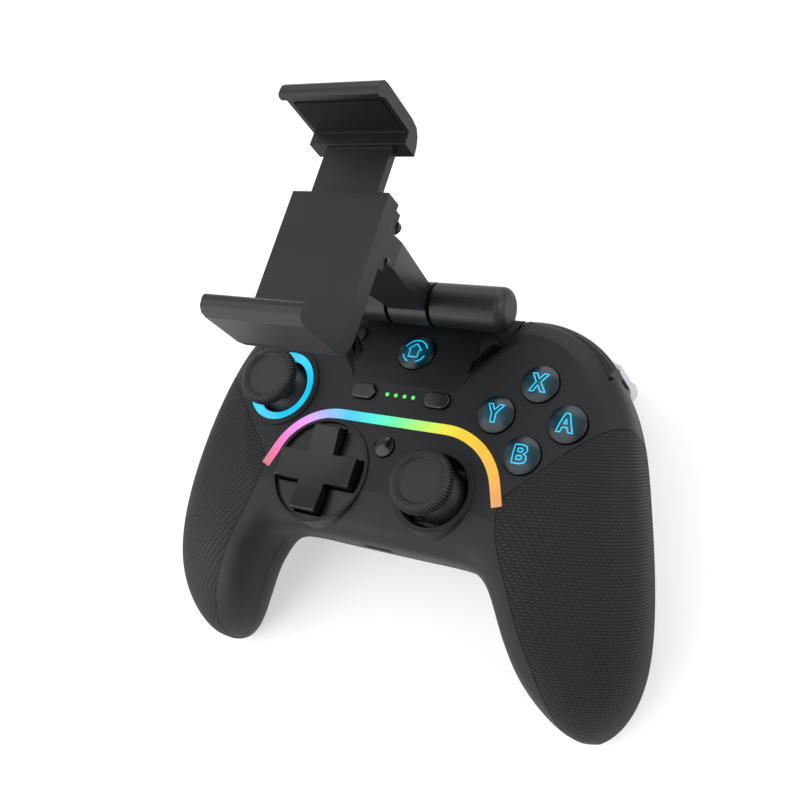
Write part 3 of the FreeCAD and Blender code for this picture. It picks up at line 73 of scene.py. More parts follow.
# Dimples of the grips: distance between rows over that in a row, sharpness both ways, and depth in metres
DIMPLE_ROW_SHARE = 0.72
DIMPLE_STRETCH = (2.3, 2.9)
DIMPLE_DEPTH = 0.00022

# Axis of the right grip in millimetres, from its top to its tip
GRIP_TOP = (57.0, 8.0, -17.0)
GRIP_TIP = (65.0, -66.0, -44.0)

# Light strip: half its run in millimetres, and where and how much its ends bend towards the user
STRIP_HALF_RUN = 56.0
STRIP_BEND_Y = 3.6
STRIP_BEND_SHARE = 0.93

# Ribs of a stick cap, from the top of its rim down: reach and height in millimetres, lag in degrees
RIB_PROFILE = [(6.9, 9.8, 0.0), (7.7, 9.85, 0.6), (8.3, 9.55, 1.4), (8.8, 9.05, 2.4), (9.0, 8.3, 3.4),
               (9.0, 7.3, 4.6), (8.6, 6.5, 5.6)]


def face_point(x, y, z):
    """Point in metres from millimetres on the face."""
    return Vector((x / 1000, y / 1000 + MIDDLE_SHIFT, z / 1000 + FACE_HEIGHT))


def linear(code):
    """Linear colour of an sRGB hex value."""
    parts = [int(code[k:k + 2], 16) / 255 for k in (1, 3, 5)]
    return tuple(p / 12.92 if p <= 0.04045 else ((p + 0.055) / 1.055) ** 2.4 for p in parts) + (1.0,)


# Sizes and colours that a user would change

class GamepadColours(bpy.types.PropertyGroup):
    """Colours of the plastics and of the lights."""
    shell: FloatVectorProperty(name="Shell", description="Soft-touch paint of the shells", subtype="COLOR",
                               size=4, min=0.0, max=1.0, default=linear("#141619"))
    grip: FloatVectorProperty(name="Grip", description="Dimpled rubber of the grip panels", subtype="COLOR",
                              size=4, min=0.0, max=1.0, default=linear("#16191c"))
    gloss: FloatVectorProperty(name="Gloss", description="Polished plastic of the buttons", subtype="COLOR",
                               size=4, min=0.0, max=1.0, default=linear("#060708"))
    trigger: FloatVectorProperty(name="Trigger", description="Satin plastic of the triggers",
                                 subtype="COLOR", size=4, min=0.0, max=1.0, default=linear("#8f9296"))
    clip: FloatVectorProperty(name="Clip", description="Satin plastic of the device clip", subtype="COLOR",
                              size=4, min=0.0, max=1.0, default=linear("#151618"))
    glow: FloatVectorProperty(name="Glow", description="Light of the marks and of the stick ring",
                              subtype="COLOR", size=4, min=0.0, max=1.0, default=linear("#14c8f5"))


class GamepadSizes(bpy.types.PropertyGroup):
    """Sizes of the fine details."""
    dimple_pitch: FloatProperty(name="Dimple pitch", description="Distance between the dimples of a row",
                                subtype="DISTANCE", unit="LENGTH", default=0.0012, min=0.0005, precision=5)
    knurl_count: IntProperty(name="Knurl ribs", description="Ribs round a stick cap",
                             default=60, min=12, max=120)
    knurl_radius: FloatProperty(name="Rib radius", description="Radius of one rib of a stick cap",
                                subtype="DISTANCE", unit="LENGTH", default=0.00032, min=0.0001, precision=5)
    mark_line: FloatProperty(name="Mark line", description="Width of the lit lines of a button mark",
                             subtype="DISTANCE", unit="LENGTH", default=0.00042, min=0.0001, precision=5)
    glow_strength: FloatProperty(name="Glow strength", description="Strength of the lit marks and rings",
                                 default=1.0, min=0.0)


# Material tools

def add(tree, kind, inputs=None, **settings):
    """Add one shader node, with plain values or other nodes' outputs on its inputs."""
    node = tree.nodes.new("ShaderNode" + kind)
    for key, value in settings.items():
        setattr(node, key, value)
    for key, value in (inputs or {}).items():
        if isinstance(value, bpy.types.NodeSocket):
            tree.links.new(value, node.inputs[key])
        else:
            node.inputs[key].default_value = value
    return node


def calc(tree, operation, *values):
    """Result of one sum on plain values or other nodes' outputs."""
    return add(tree, "Math", dict(enumerate(values)), operation=operation).outputs[0]


def start_material(name, colour, **sockets):
    """A new material with the plain values of its shader set."""
    material = bpy.data.materials.new(name)
    material.use_nodes = True
    tree = material.node_tree
    shader = tree.nodes["Principled BSDF"]
    shader.inputs["Base Color"].default_value = colour
    material.diffuse_color = colour
    for key, value in sockets.items():
        shader.inputs[key.replace("_", " ").title().replace("Ior", "IOR")].default_value = value
    return material, tree, shader


def scaled(colour, factor):
    """The same colour, lighter or darker."""
    return tuple(min(1.0, part * factor) for part in colour[:3]) + (1.0,)


def moulded(name, colour, roughness, grain, depth, shade=0.12, edge=0.00015, **sockets):
    """Grain of one size and depth in millimetres, uneven colour and sheen, and softened edges."""
    material, tree, shader = start_material(name, colour, **sockets)
    place = add(tree, "TexCoord").outputs["Object"]
    mottle = add(tree, "TexNoise", {"Vector": place, "Scale": 55.0, "Detail": 4.0}).outputs["Fac"]
    tint = add(tree, "Mix", {0: mottle, 6: scaled(colour, 1 - shade), 7: scaled(colour, 1 + shade)},
               data_type="RGBA")
    tree.links.new(tint.outputs[2], shader.inputs["Base Color"])
    sheen = add(tree, "MapRange", {"Value": mottle, "From Min": 0.3, "From Max": 0.7,
                                   "To Min": roughness - 0.04, "To Max": roughness + 0.05})
    tree.links.new(sheen.outputs[0], shader.inputs["Roughness"])
    rounding = add(tree, "Bevel", {"Radius": edge}, samples=4).outputs[0]
    speckle = add(tree, "TexNoise", {"Vector": place, "Scale": 1000.0 / grain, "Detail": 2.0})
    relief = add(tree, "Bump", {"Height": speckle.outputs["Fac"], "Distance": depth / 1000, "Strength": 1.0,
                                "Normal": rounding})
    tree.links.new(relief.outputs[0], shader.inputs["Normal"])
    return material


def dimpled_rubber(name, colour, pitch):
    """Soft rubber skin with staggered rows of long dimples that follow the grip on its own map; painted
    shade between them.
    """
    material, tree, shader = start_material(name, colour, roughness=0.6, specular_ior_level=0.2)
    place = add(tree, "UVMap", uv_map="dimples").outputs[0]
    split = add(tree, "SeparateXYZ", {0: place})
    across = calc(tree, "MULTIPLY", split.outputs[0], 1.0 / pitch)
    along = calc(tree, "MULTIPLY", split.outputs[1], 1.0 / (DIMPLE_ROW_SHARE * pitch))
    row = calc(tree, "FLOOR", along)
    stagger = calc(tree, "MULTIPLY_ADD", row, 0.5, across)
    x = calc(tree, "SUBTRACT", calc(tree, "FRACT", stagger), 0.5)
    y = calc(tree, "SUBTRACT", calc(tree, "FRACT", along), 0.5)
    long_side = calc(tree, "POWER", calc(tree, "MULTIPLY", x, DIMPLE_STRETCH[0]), 2.0)
    short_side = calc(tree, "POWER", calc(tree, "MULTIPLY", y, DIMPLE_STRETCH[1]), 2.0)
    spread = calc(tree, "ADD", long_side, short_side)
    nub_and_shade = add(tree, "MapRange", {"Value": spread, "From Min": 0.45, "From Max": 1.15,
                                 "To Min": 1.0, "To Max": 0.0},
              interpolation_type="SMOOTHSTEP").outputs[0]
    objects = add(tree, "TexCoord").outputs["Object"]
    mottle = add(tree, "TexNoise", {"Vector": objects, "Scale": 60.0, "Detail": 3.0}).outputs["Fac"]
    worn = add(tree, "Mix", {0: mottle, 6: scaled(colour, 0.85), 7: scaled(colour, 1.25)}, data_type="RGBA")
    # Painted shade: the ground between the dimples is darkened to 0.42 of the rubber's colour; the dimples
    # keep the random mottle
    tint = add(tree, "Mix", {0: nub_and_shade, 6: scaled(colour, 0.42), 7: worn.outputs[2]}, data_type="RGBA")
    tree.links.new(tint.outputs[2], shader.inputs["Base Color"])
    sheen = add(tree, "MapRange", {"Value": nub_and_shade, "To Min": 0.75, "To Max": 0.5})
    tree.links.new(sheen.outputs[0], shader.inputs["Roughness"])
    relief = add(tree, "Bump", {"Height": nub_and_shade, "Distance": DIMPLE_DEPTH, "Strength": 1.0})
    tree.links.new(relief.outputs[0], shader.inputs["Normal"])
    return material


def uneven_light(tree, scale, low, high):
    """Light strength that drifts between two values in patches."""
    place = add(tree, "TexCoord").outputs["Object"]
    cloud = add(tree, "TexNoise", {"Vector": place, "Scale": scale, "Detail": 2.0}).outputs["Fac"]
    return add(tree, "MapRange", {"Value": cloud, "From Min": 0.3, "From Max": 0.7,
                                  "To Min": low, "To Max": high}).outputs[0]


def lit_plastic(name, colour, strength):
    """Frosted diffuser over a lamp: even colour, a little brighter in patches."""
    dark = scaled(colour, 0.1)
    material, tree, shader = start_material(name, dark, roughness=0.35, emission_color=colour)
    power = uneven_light(tree, 180.0, strength * 0.85, strength * 1.1)
    tree.links.new(power, shader.inputs["Emission Strength"])
    return material


def rainbow_diffuser(name, strength):
    """Frosted diffuser with its colours running from one end of the strip to the other."""
    material, tree, shader = start_material(name, linear("#202428"), roughness=0.35)
    run = add(tree, "SeparateXYZ", {0: add(tree, "UVMap", uv_map="run").outputs[0]}).outputs[0]
    ramp = add(tree, "ValToRGB", {"Fac": run})
    stops = [(0.0, "#d2586c"), (0.1, "#ff5fbe"), (0.185, "#f58cf5"), (0.24, "#d7a5ff"), (0.29, "#9bb4ff"),
             (0.355, "#14c3f5"), (0.44, "#09f0dc"), (0.52, "#5af596"), (0.6, "#b4f550"), (0.67, "#f5e41e"),
             (0.74, "#fdcd14"), (0.9, "#fab42d"), (1.0, "#e69646")]
    while len(ramp.color_ramp.elements) < len(stops):
        ramp.color_ramp.elements.new(0.5)
    for element, (spot, code) in zip(ramp.color_ramp.elements, stops):
        element.position = spot
        element.color = linear(code)
    tree.links.new(ramp.outputs["Color"], shader.inputs["Emission Color"])
    power = uneven_light(tree, 150.0, strength * 0.92, strength * 1.08)
    tree.links.new(power, shader.inputs["Emission Strength"])
    return material


def lit_gloss(name, colour, glow, centre, reach):
    """Polished clear-black plastic with light from below that fades towards the rim."""
    material = moulded(name, colour, 0.24, 0.5, 0.001, shade=0.2, edge=0.0003, specular_ior_level=0.26)
    tree = material.node_tree
    shader = tree.nodes["Principled BSDF"]
    shader.inputs["Emission Color"].default_value = glow
    place = add(tree, "TexCoord").outputs["Object"]
    gap = add(tree, "VectorMath", {0: place, 1: centre}, operation="DISTANCE").outputs["Value"]
    power = add(tree, "MapRange", {"Value": gap, "From Min": 0.0012, "From Max": reach,
                                   "To Min": 0.1, "To Max": 0.0})
    tree.links.new(power.outputs[0], shader.inputs["Emission Strength"])
    return material


def brushed(name, colour, roughness, pitch):
    """Metal with fine drawn lines along one way, a pitch in millimetres apart."""
    material, tree, shader = start_material(name, colour, metallic=1.0, roughness=roughness)
    place = add(tree, "TexCoord").outputs["Object"]
    drawn = add(tree, "Mapping", {"Vector": place, "Scale": (1.0, 1.0, 0.08)}).outputs[0]
    lines = add(tree, "TexNoise", {"Vector": drawn, "Scale": 1000.0 / pitch, "Detail": 2.0}).outputs["Fac"]
    sheen = add(tree, "MapRange", {"Value": lines, "To Min": roughness - 0.08, "To Max": roughness + 0.1})
    tree.links.new(sheen.outputs[0], shader.inputs["Roughness"])
    relief = add(tree, "Bump", {"Height": lines, "Distance": 0.00001, "Strength": 0.7})
    tree.links.new(relief.outputs[0], shader.inputs["Normal"])
    return material


def board_laminate(name):
    """Black solder mask over copper tracks: satin, with faint straight tracks 0.8 mm apart."""
    material, tree, shader = start_material(name, linear("#0c0f0e"), roughness=0.4)
    place = add(tree, "TexCoord").outputs["Object"]
    tracks = add(tree, "TexBrick", {"Vector": place, "Scale": 620.0, "Mortar Size": 0.06,
                                    "Color1": linear("#0c0f0e"), "Color2": linear("#101413"),
                                    "Mortar": linear("#2a2c26")})
    tree.links.new(tracks.outputs["Color"], shader.inputs["Base Color"])
    relief = add(tree, "Bump", {"Height": tracks.outputs["Fac"], "Distance": 0.00003, "Strength": 0.5})
    tree.links.new(relief.outputs[0], shader.inputs["Normal"])
    return material


def seen_rays(tree):
    """One for rays from the camera, off a gloss or through clear plastic, else none."""
    path = add(tree, "LightPath")
    seen = calc(tree, "MAXIMUM", path.outputs["Is Camera Ray"], path.outputs["Is Glossy Ray"])
    return calc(tree, "MAXIMUM", seen, path.outputs["Is Transmission Ray"])


FINISHES = {}


def finishes():
    """All materials by the record's slots, made once."""
    if FINISHES:
        return FINISHES
    colours = bpy.context.scene.gamepad_colours
    sizes = bpy.context.scene.gamepad_sizes
    FINISHES.update({
        # Soft-touch paint on ABS: matte with a fine even grain, so highlights spread wide
        "shell": moulded("soft-touch ABS", tuple(colours.shell), 0.5, 0.32, 0.012, specular_ior_level=0.17),
        # Moulded rubber skin, 1.2 mm dimples, dull between them and darkened there by painted shade
        "grip": dimpled_rubber("dimpled rubber", tuple(colours.grip), sizes.dimple_pitch),
        # Polished black ABS: a soft gloss, a little uneven from handling
        "gloss": moulded("polished black ABS", tuple(colours.gloss), 0.2, 0.6, 0.001, shade=0.2,
                         edge=0.0003, specular_ior_level=0.35),
        # Black ABS with a satin face, for the cross and its dish
        "satin": moulded("satin black ABS", linear("#0c0c0d"), 0.33, 0.4, 0.004, edge=0.0003,
                         specular_ior_level=0.22),
        "light": rainbow_diffuser("frosted colour diffuser", 1.0),
        "ring": lit_plastic("frosted ring diffuser", tuple(colours.glow), sizes.glow_strength),
        "mark": lit_plastic("lit mark", tuple(colours.glow), sizes.glow_strength),
        "led": lit_plastic("green lamp lens", linear("#3cf046"), 1.0),
        # Rubber over a plastic cap: dull, with fine grain
        "stick": moulded("stick rubber", linear("#131415"), 0.52, 0.35, 0.01, specular_ior_level=0.3),
        # Grey ABS with a satin face from the mould
        "trigger": moulded("satin grey ABS", tuple(colours.trigger), 0.36, 0.35, 0.004, edge=0.0003),
        "inner_plastic": moulded("moulded black nylon", linear("#141516"), 0.5, 0.4, 0.006),
        "board": board_laminate("solder mask laminate"),
        "battery": moulded("battery foil wrap", linear("#8d949c"), 0.3, 2.5, 0.03, metallic=0.6),
        "membrane": moulded("silicone rubber", linear("#3a3b3e"), 0.55, 0.5, 0.006),
        "motor": brushed("drawn steel can", linear("#8c8d90"), 0.35, 0.2),
        "weight": brushed("turned brass", linear("#c8a85a"), 0.28, 0.2),
        "steel": brushed("black oxide steel", linear("#38393b"), 0.42, 0.15),
        # Glass-filled nylon of the clip: satin, a little coarse
        "clip": moulded("satin glass-filled nylon", tuple(colours.clip), 0.4, 0.4, 0.008, edge=0.0003,
                        specular_ior_level=0.25),
        "pad": moulded("soft rubber pad", linear("#0a0a0b"), 0.7, 0.5, 0.015, specular_ior_level=0.15),
    })
    return FINISHES


# Mesh tools

def show(mesh, name, body):
    """Put a finished mesh or curve in the scene, riding on a body."""
    piece = bpy.data.objects.new(name, mesh)
    bpy.context.scene.collection.objects.link(piece)
    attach(piece, body)
    return piece


def smooth_copy(node, name, body, material):
    """The node's own form, smooth over each of its faces and sharp between them, shown in its place."""
    mesh = frame["nodes"][node].data.copy()
    mesh.name = name
    mesh.materials.clear()
    mesh.materials.append(material)
    for face in mesh.polygons:
        face.material_index = 0
    piece = show(mesh, name, body)
    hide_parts(node)
    return piece


def paint(node, material):
    """Give a CAD node its finish."""
    data = frame["nodes"][node].data
    if not data.materials:
        data.materials.append(material)
    for k in range(len(data.materials)):
        data.materials[k] = material


def surface_of(node):
    """Search tree over a node's faces."""
    form = bmesh.new()
    form.from_mesh(frame["nodes"][node].data)
    tree = BVHTree.FromBMesh(form)
    form.free()
    return tree


def on_top(tree, point):
    """The point set down on the face below it."""
    hit = tree.ray_cast(Vector((point.x, point.y, 0.2)), Vector((0, 0, -1)))[0]
    if hit is None:
        raise RuntimeError("a mark lies beside its button")
    return hit


def lined(name, runs, radius, material, cyclic=True):
    """Round-lined curve through several runs of points."""
    curve = bpy.data.curves.new(name, "CURVE")
    curve.dimensions = "3D"
    curve.bevel_depth = radius
    curve.bevel_resolution = 2
    curve.use_fill_caps = True
    for points in runs:
        spline = curve.splines.new("POLY")
        spline.points.add(len(points) - 1)
        for spot, point in zip(spline.points, points):
            spot.co = (*point, 1.0)
        spline.use_cyclic_u = cyclic
    curve.materials.append(material)
    return curve


def give_map(mesh, name, find):
    """Map every corner of the mesh by a function of its point in millimetres on the face."""
    layer = mesh.uv_layers.new(name=name)
    spots = [find(*(vertex.co - Vector((0, MIDDLE_SHIFT, FACE_HEIGHT))) * 1000) for vertex in mesh.vertices]
    for loop in mesh.loops:
        layer.data[loop.index].uv = spots[loop.vertex_index]


# Letters of the buttons: plain outlines in a box one unit high, their height in millimetres, and the longest
# step along an outline in units
MARKS = {
    "button_x": [[(-.45, .5), (-.2, .5), (0, .17), (.2, .5), (.45, .5), (.13, 0),
                  (.45, -.5), (.2, -.5), (0, -.17), (-.2, -.5), (-.45, -.5), (-.13, 0)]],
    "button_y": [[(-.45, .5), (-.2, .5), (0, .15), (.2, .5), (.45, .5),
                  (.12, -.03), (.12, -.5), (-.12, -.5), (-.12, -.03)]],
    "button_a": [[(-.12, .5), (.12, .5), (.45, -.5), (.21, -.5),
                  (.14, -.27), (-.14, -.27), (-.21, -.5), (-.45, -.5)],
                 [(0, .2), (.09, -.08), (-.09, -.08)]],
    "button_b": [[(-.36, .5), (.1, .5), (.3, .42), (.36, .26), (.32, .1), (.2, .02),
                  (.36, -.08), (.4, -.25), (.32, -.42), (.1, -.5), (-.36, -.5)],
                 [(-.14, .3), (.08, .3), (.14, .2), (.08, .1), (-.14, .1)],
                 [(-.14, -.1), (.1, -.1), (.18, -.2), (.1, -.3), (-.14, -.3)]],
}
MARK_HEIGHT = 5.2
MARK_STEP = 0.12

# The sign of the home button, and the arcs round it in degrees with their radius in millimetres
HOME_SIGN = [[(-.24, -.34), (.24, -.34), (.24, .06), (.36, .06), (0, .4), (-.36, .06), (-.24, .06)]]
HOME_HEIGHT = 6.0
HOME_ARCS = [(20, 160), (200, 250), (290, 340)]
HOME_RING = 3.7
ARC_PARTS = 12

# Radius of a lit line over its width, and its sinking over that radius, which leaves that width in sight
LINE_SHARE = 0.625
SINK_SHARE = 0.6


def divided(points, step):
    """The same closed run with more points, so that it can follow a dome."""
    ends = points[1:] + points[:1]
    result = []
    for (x0, y0), (x1, y1) in zip(points, ends):
        parts = max(1, round(math.dist((x0, y0), (x1, y1)) / step))
        result += [(x0 + (x1 - x0) * k / parts, y0 + (y1 - y0) * k / parts) for k in range(parts)]
    return result


def laid(tree, points, sink):
    """Points in millimetres on the face, laid on a button's dome and sunk a little into it."""
    return [on_top(tree, face_point(x, y, 0)) - Vector((0, 0, sink)) for x, y in points]


def mark_runs(node, centre, shapes, height, sink):
    """Outlines of a mark laid on its button's dome."""
    tree = surface_of(node)
    runs = []
    for shape in shapes:
        flat = [(centre[0] + x * height, centre[1] + y * height) for x, y in divided(shape, MARK_STEP)]
        runs.append(laid(tree, flat, sink))
    return runs


# Operators, one per group of pieces

class GAMEPAD_OT_shells(bpy.types.Operator):
    """Finish the two shells and their recess inserts"""
    bl_idname = "gamepad.shells"
    bl_label = "Shells"

    def execute(self, context):
        made = finishes()
        for node in ("front_shell", "rear_shell"):
            smooth_copy(node, node + "_skin", "housing", made["shell"])
        smooth_copy("recess_inserts", "recess_inserts_skin", "housing", made["gloss"])
        return {"FINISHED"}


class GAMEPAD_OT_grips(bpy.types.Operator):
    """Finish the dimpled grip panels"""
    bl_idname = "gamepad.grips"
    bl_label = "Grip Panels"

    def execute(self, context):
        made = finishes()
        top = Vector(GRIP_TOP)
        length = (Vector(GRIP_TIP) - top).length
        axis = (Vector(GRIP_TIP) - top).normalized()
        outward = Vector((1, 0, 0)) - axis * axis.x
        outward.normalize()
        upward = outward.cross(axis)
        for side, turn in (("left", -1.0), ("right", 1.0)):
            node = side + "_grip_panel"
            panel = smooth_copy(node, node + "_skin", "housing", made["grip"])

            def find(x, y, z, turn=turn):
                reach = Vector((x * turn, y, z)) - top
                along = reach.dot(axis)
                away = reach - axis * along
                around = math.atan2(away.dot(upward), away.dot(outward)) - 0.9
                girth = 21.0 - 9.0 * max(0.0, min(1.0, along / length)) ** 2
                return around * girth / 1000 * turn, along / 1000
            give_map(panel.data, "dimples", find)
        return {"FINISHED"}


class GAMEPAD_OT_lights(bpy.types.Operator):
    """Light the strip, the ring round the left stick and the four lamps"""
    bl_idname = "gamepad.lights"
    bl_label = "Lights"

    def execute(self, context):
        made = finishes()
        strip = smooth_copy("light_strip", "light_strip_glow", "housing", made["light"])

        def find(x, y, z):
            run = x + math.copysign(max(0.0, STRIP_BEND_Y - y) * STRIP_BEND_SHARE, x)
            return 0.5 + run / (2 * STRIP_HALF_RUN), 0.5
        give_map(strip.data, "run", find)
        smooth_copy("stick_light_ring", "stick_light_ring_glow", "housing", made["ring"])
        smooth_copy("indicator_leds", "indicator_lamps", "housing", made["led"])
        return {"FINISHED"}


class GAMEPAD_OT_buttons(bpy.types.Operator):
    """Finish the buttons and draw their lit marks"""
    bl_idname = "gamepad.buttons"
    bl_label = "Buttons"

    def execute(self, context):
        made = finishes()
        sizes = context.scene.gamepad_sizes
        radius = sizes.mark_line * LINE_SHARE
        sink = radius * SINK_SHARE
        glow = tuple(context.scene.gamepad_colours.glow)
        gloss = tuple(context.scene.gamepad_colours.gloss)
        for node, centre in FACE_BUTTONS.items():
            lit = lit_gloss("clear black " + node, gloss, glow, face_point(*centre, 2.0), 0.0056)
            smooth_copy(node, node + "_cap", node, lit)
            runs = mark_runs(node, centre, MARKS[node], MARK_HEIGHT, sink)
            show(lined(node + "_mark", runs, radius, made["mark"]), node + "_mark", node)
        lit = lit_gloss("clear black home", gloss, glow, face_point(*HOME_CENTRE, -0.3), 0.0062)
        smooth_copy("home_button", "home_button_cap", "home_button", lit)
        runs = mark_runs("home_button", HOME_CENTRE, HOME_SIGN, HOME_HEIGHT, sink)
        show(lined("home_sign", runs, radius, made["mark"]), "home_sign", "home_button")
        x0, y0 = HOME_CENTRE
        tree = surface_of("home_button")
        arcs = []
        for first, last in HOME_ARCS:
            turns = [math.radians(first + (last - first) * k / ARC_PARTS) for k in range(ARC_PARTS + 1)]
            flat = [(x0 + HOME_RING * math.cos(turn), y0 + HOME_RING * math.sin(turn)) for turn in turns]
            arcs.append(laid(tree, flat, sink))
        ring = lined("home_arcs", arcs, radius, made["mark"], cyclic=False)
        show(ring, "home_arcs", "home_button")
        for node in ("select_button", "start_button", "capture_button"):
            smooth_copy(node, node + "_cap", node, made["gloss"])
        return {"FINISHED"}


class GAMEPAD_OT_dpad(bpy.types.Operator):
    """Finish the cross and its dish"""
    bl_idname = "gamepad.dpad"
    bl_label = "Direction Pad"

    def execute(self, context):
        made = finishes()
        smooth_copy("dpad", "dpad_cross", "dpad", made["satin"])
        smooth_copy("dpad_dish", "dpad_dish_skin", "housing", made["satin"])
        return {"FINISHED"}


class GAMEPAD_OT_sticks(bpy.types.Operator):
    """Finish the stick caps and add the knurled ribs round their rims"""
    bl_idname = "gamepad.sticks"
    bl_label = "Sticks"

    def execute(self, context):
        made = finishes()
        sizes = context.scene.gamepad_sizes
        for side, (x0, y0) in STICKS.items():
            body = side + "_stick"
            smooth_copy(side + "_stick_cap", body + "_cap_skin", body, made["stick"])
            runs = []
            for k in range(sizes.knurl_count):
                turn = 2 * math.pi * k / sizes.knurl_count
                run = []
                for reach, z, lag in RIB_PROFILE:
                    angle = turn + math.radians(lag)
                    run.append(face_point(x0 + reach * math.cos(angle), y0 + reach * math.sin(angle), z))
                runs.append(run)
            ribs = lined(body + "_ribs", runs, sizes.knurl_radius, made["stick"], cyclic=False)
            ribs.bevel_resolution = 1
            show(ribs, body + "_ribs", body)
        return {"FINISHED"}


class GAMEPAD_OT_shoulders(bpy.types.Operator):
    """Finish the bumpers and the triggers"""
    bl_idname = "gamepad.shoulders"
    bl_label = "Shoulder Controls"

    def execute(self, context):
        made = finishes()
        for side in ("left", "right"):
            bumper = side + "_bumper"
            trigger = side + "_trigger"
            smooth_copy(bumper, bumper + "_skin", bumper, made["satin"])
            smooth_copy(trigger, trigger + "_skin", trigger, made["trigger"])
        return {"FINISHED"}


class GAMEPAD_OT_clip(bpy.types.Operator):
    """Finish the tilting device clip"""
    bl_idname = "gamepad.clip"
    bl_label = "Device Clip"

    def execute(self, context):
        made = finishes()
        for node, body, slot in (("clip_saddle", "housing", "clip"), ("hinge_caps", "housing", "clip"),
                                 ("clip_arm", "clip", "clip"), ("lower_jaw", "clip", "clip"),
                                 ("lower_jaw_pad", "clip", "pad"), ("upper_jaw", "upper_jaw", "clip"),
                                 ("upper_jaw_pad", "upper_jaw", "pad")):
            smooth_copy(node, node + "_skin", body, made[slot])
        return {"FINISHED"}


class GAMEPAD_OT_inner(bpy.types.Operator):
    """Give the inner pieces, screws and the port their finishes"""
    bl_idname = "gamepad.inner"
    bl_label = "Inner Pieces"

    def execute(self, context):
        made = finishes()
        for part in frame["record"]["subparts"]:
            paint(part["node"], made[part["material_slot"]])
        return {"FINISHED"}


# Stage: floor, surroundings, lamps and camera

# Soft lamps: name, place, aimed at, width, height and power in watts
LAMPS = [("key", (-0.35, -0.25, 0.85), (0.0, 0.0, 0.05), 1.1, 1.1, 9.0),
         ("side", (0.75, 0.15, 0.35), (0.03, -0.01, 0.04), 0.5, 0.9, 5.0),
         ("low", (-0.5, -0.55, 0.2), (-0.03, -0.02, 0.03), 0.9, 0.35, 3.5),
         ("back", (0.05, 0.75, 0.5), (0.0, 0.0, 0.06), 0.9, 0.5, 4.0)]


def bare_tree(owner):
    """Shader tree of a material or world, without its first nodes."""
    owner.use_nodes = True
    owner.node_tree.nodes.clear()
    return owner.node_tree


def lay_floor(scene):
    """White floor that still takes soft shadows."""
    form = bmesh.new()
    bmesh.ops.create_grid(form, x_segments=1, y_segments=1, size=4.0)
    mesh = bpy.data.meshes.new("floor")
    form.to_mesh(mesh)
    form.free()
    floor = bpy.data.objects.new("floor", mesh)
    scene.collection.objects.link(floor)
    material = bpy.data.materials.new("pale studio floor")
    tree = bare_tree(material)
    share = calc(tree, "MULTIPLY", seen_rays(tree), 0.5)
    matte = add(tree, "BsdfDiffuse", {"Color": (0.92, 0.92, 0.92, 1.0)})
    white = add(tree, "Emission", {"Color": (1.0, 1.0, 1.0, 1.0), "Strength": 1.0})
    mixed = add(tree, "MixShader", {0: share, 1: matte.outputs[0], 2: white.outputs[0]})
    add(tree, "OutputMaterial", {"Surface": mixed.outputs[0]})
    mesh.materials.append(material)


def set_surroundings(scene):
    """White surroundings, half as strong for the light that they throw."""
    world = bpy.data.worlds.new("studio")
    scene.world = world
    tree = bare_tree(world)
    seen = seen_rays(tree)
    strength = add(tree, "MapRange", {"Value": seen, "To Min": 0.5, "To Max": 1.0}).outputs[0]
    sky = add(tree, "Background", {"Color": (1.0, 1.0, 1.0, 1.0), "Strength": strength})
    add(tree, "OutputWorld", {"Surface": sky.outputs[0]})


def place_lamps(scene):
    """The soft lamps round the object."""
    for name, place, aim, width, height, power in LAMPS:
        light = bpy.data.lights.new(name, "AREA")
        light.shape = "RECTANGLE"
        light.size = width
        light.size_y = height
        light.energy = power
        lamp = bpy.data.objects.new(name, light)
        lamp.location = place
        lamp.rotation_euler = (Vector(aim) - Vector(place)).to_track_quat("-Z", "Y").to_euler()
        scene.collection.objects.link(lamp)


def place_camera(scene):
    """The camera of the photograph."""
    data = bpy.data.cameras.new("camera")
    data.lens = CAMERA_LENS
    data.sensor_width = SENSOR_WIDTH
    data.clip_start = 0.01
    camera = bpy.data.objects.new("camera", data)
    back = -Vector(CAMERA_AHEAD).normalized()
    right = Vector(CAMERA_RIGHT)
    right = (right - back * right.dot(back)).normalized()
    turn = Matrix((right, back.cross(right), back)).transposed()
    camera.matrix_world = Matrix.Translation(CAMERA_SPOT) @ turn.to_4x4()
    scene.collection.objects.link(camera)
    scene.camera = camera


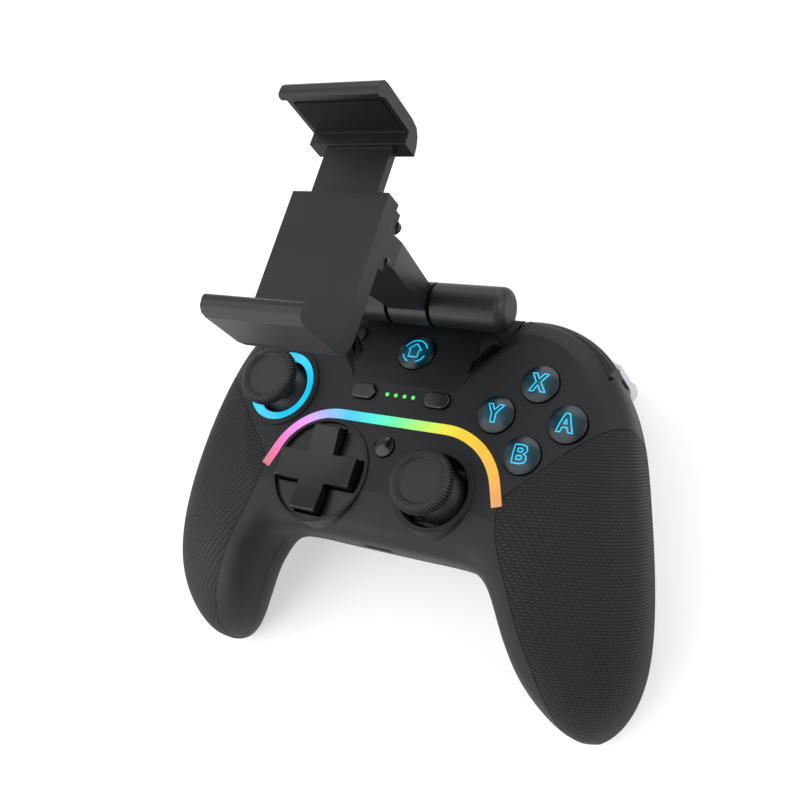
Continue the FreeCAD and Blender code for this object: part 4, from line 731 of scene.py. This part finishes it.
class GAMEPAD_OT_stage(bpy.types.Operator):
    """Set up the floor, the soft lamps and the camera"""
    bl_idname = "gamepad.stage"
    bl_label = "Stage"

    def execute(self, context):
        lay_floor(context.scene)
        set_surroundings(context.scene)
        place_lamps(context.scene)
        place_camera(context.scene)
        context.scene.view_settings.view_transform = "Standard"
        return {"FINISHED"}


class GAMEPAD_PT_panel(bpy.types.Panel):
    """The gamepad's pieces, sizes and colours"""
    bl_label = "Gamepad"
    bl_idname = "GAMEPAD_PT_panel"
    bl_space_type = "VIEW_3D"
    bl_region_type = "UI"
    bl_category = "Gamepad"

    def draw(self, context):
        layout = self.layout
        for operator in OPERATORS:
            layout.operator(operator.bl_idname)
        for group in (context.scene.gamepad_colours, context.scene.gamepad_sizes):
            for key in group.bl_rna.properties.keys():
                if key not in ("rna_type", "name"):
                    layout.prop(group, key)


OPERATORS = (GAMEPAD_OT_stage, GAMEPAD_OT_inner, GAMEPAD_OT_shells, GAMEPAD_OT_grips, GAMEPAD_OT_lights,
             GAMEPAD_OT_buttons, GAMEPAD_OT_dpad, GAMEPAD_OT_sticks, GAMEPAD_OT_shoulders, GAMEPAD_OT_clip)
CLASSES = (GamepadColours, GamepadSizes) + OPERATORS + (GAMEPAD_PT_panel,)


def register():
    """Add the classes and the two groups of settings."""
    for cls in CLASSES:
        bpy.utils.register_class(cls)
    bpy.types.Scene.gamepad_colours = PointerProperty(type=GamepadColours)
    bpy.types.Scene.gamepad_sizes = PointerProperty(type=GamepadSizes)


def unregister():
    """Take them away again."""
    del bpy.types.Scene.gamepad_sizes
    del bpy.types.Scene.gamepad_colours
    for cls in reversed(CLASSES):
        bpy.utils.unregister_class(cls)


def main():
    """Run every operator."""
    register()
    bpy.ops.gamepad.stage()
    bpy.ops.gamepad.inner()
    bpy.ops.gamepad.shells()
    bpy.ops.gamepad.grips()
    bpy.ops.gamepad.lights()
    bpy.ops.gamepad.buttons()
    bpy.ops.gamepad.dpad()
    bpy.ops.gamepad.sticks()
    bpy.ops.gamepad.shoulders()
    bpy.ops.gamepad.clip()


if __name__ == "__main__":
    main()
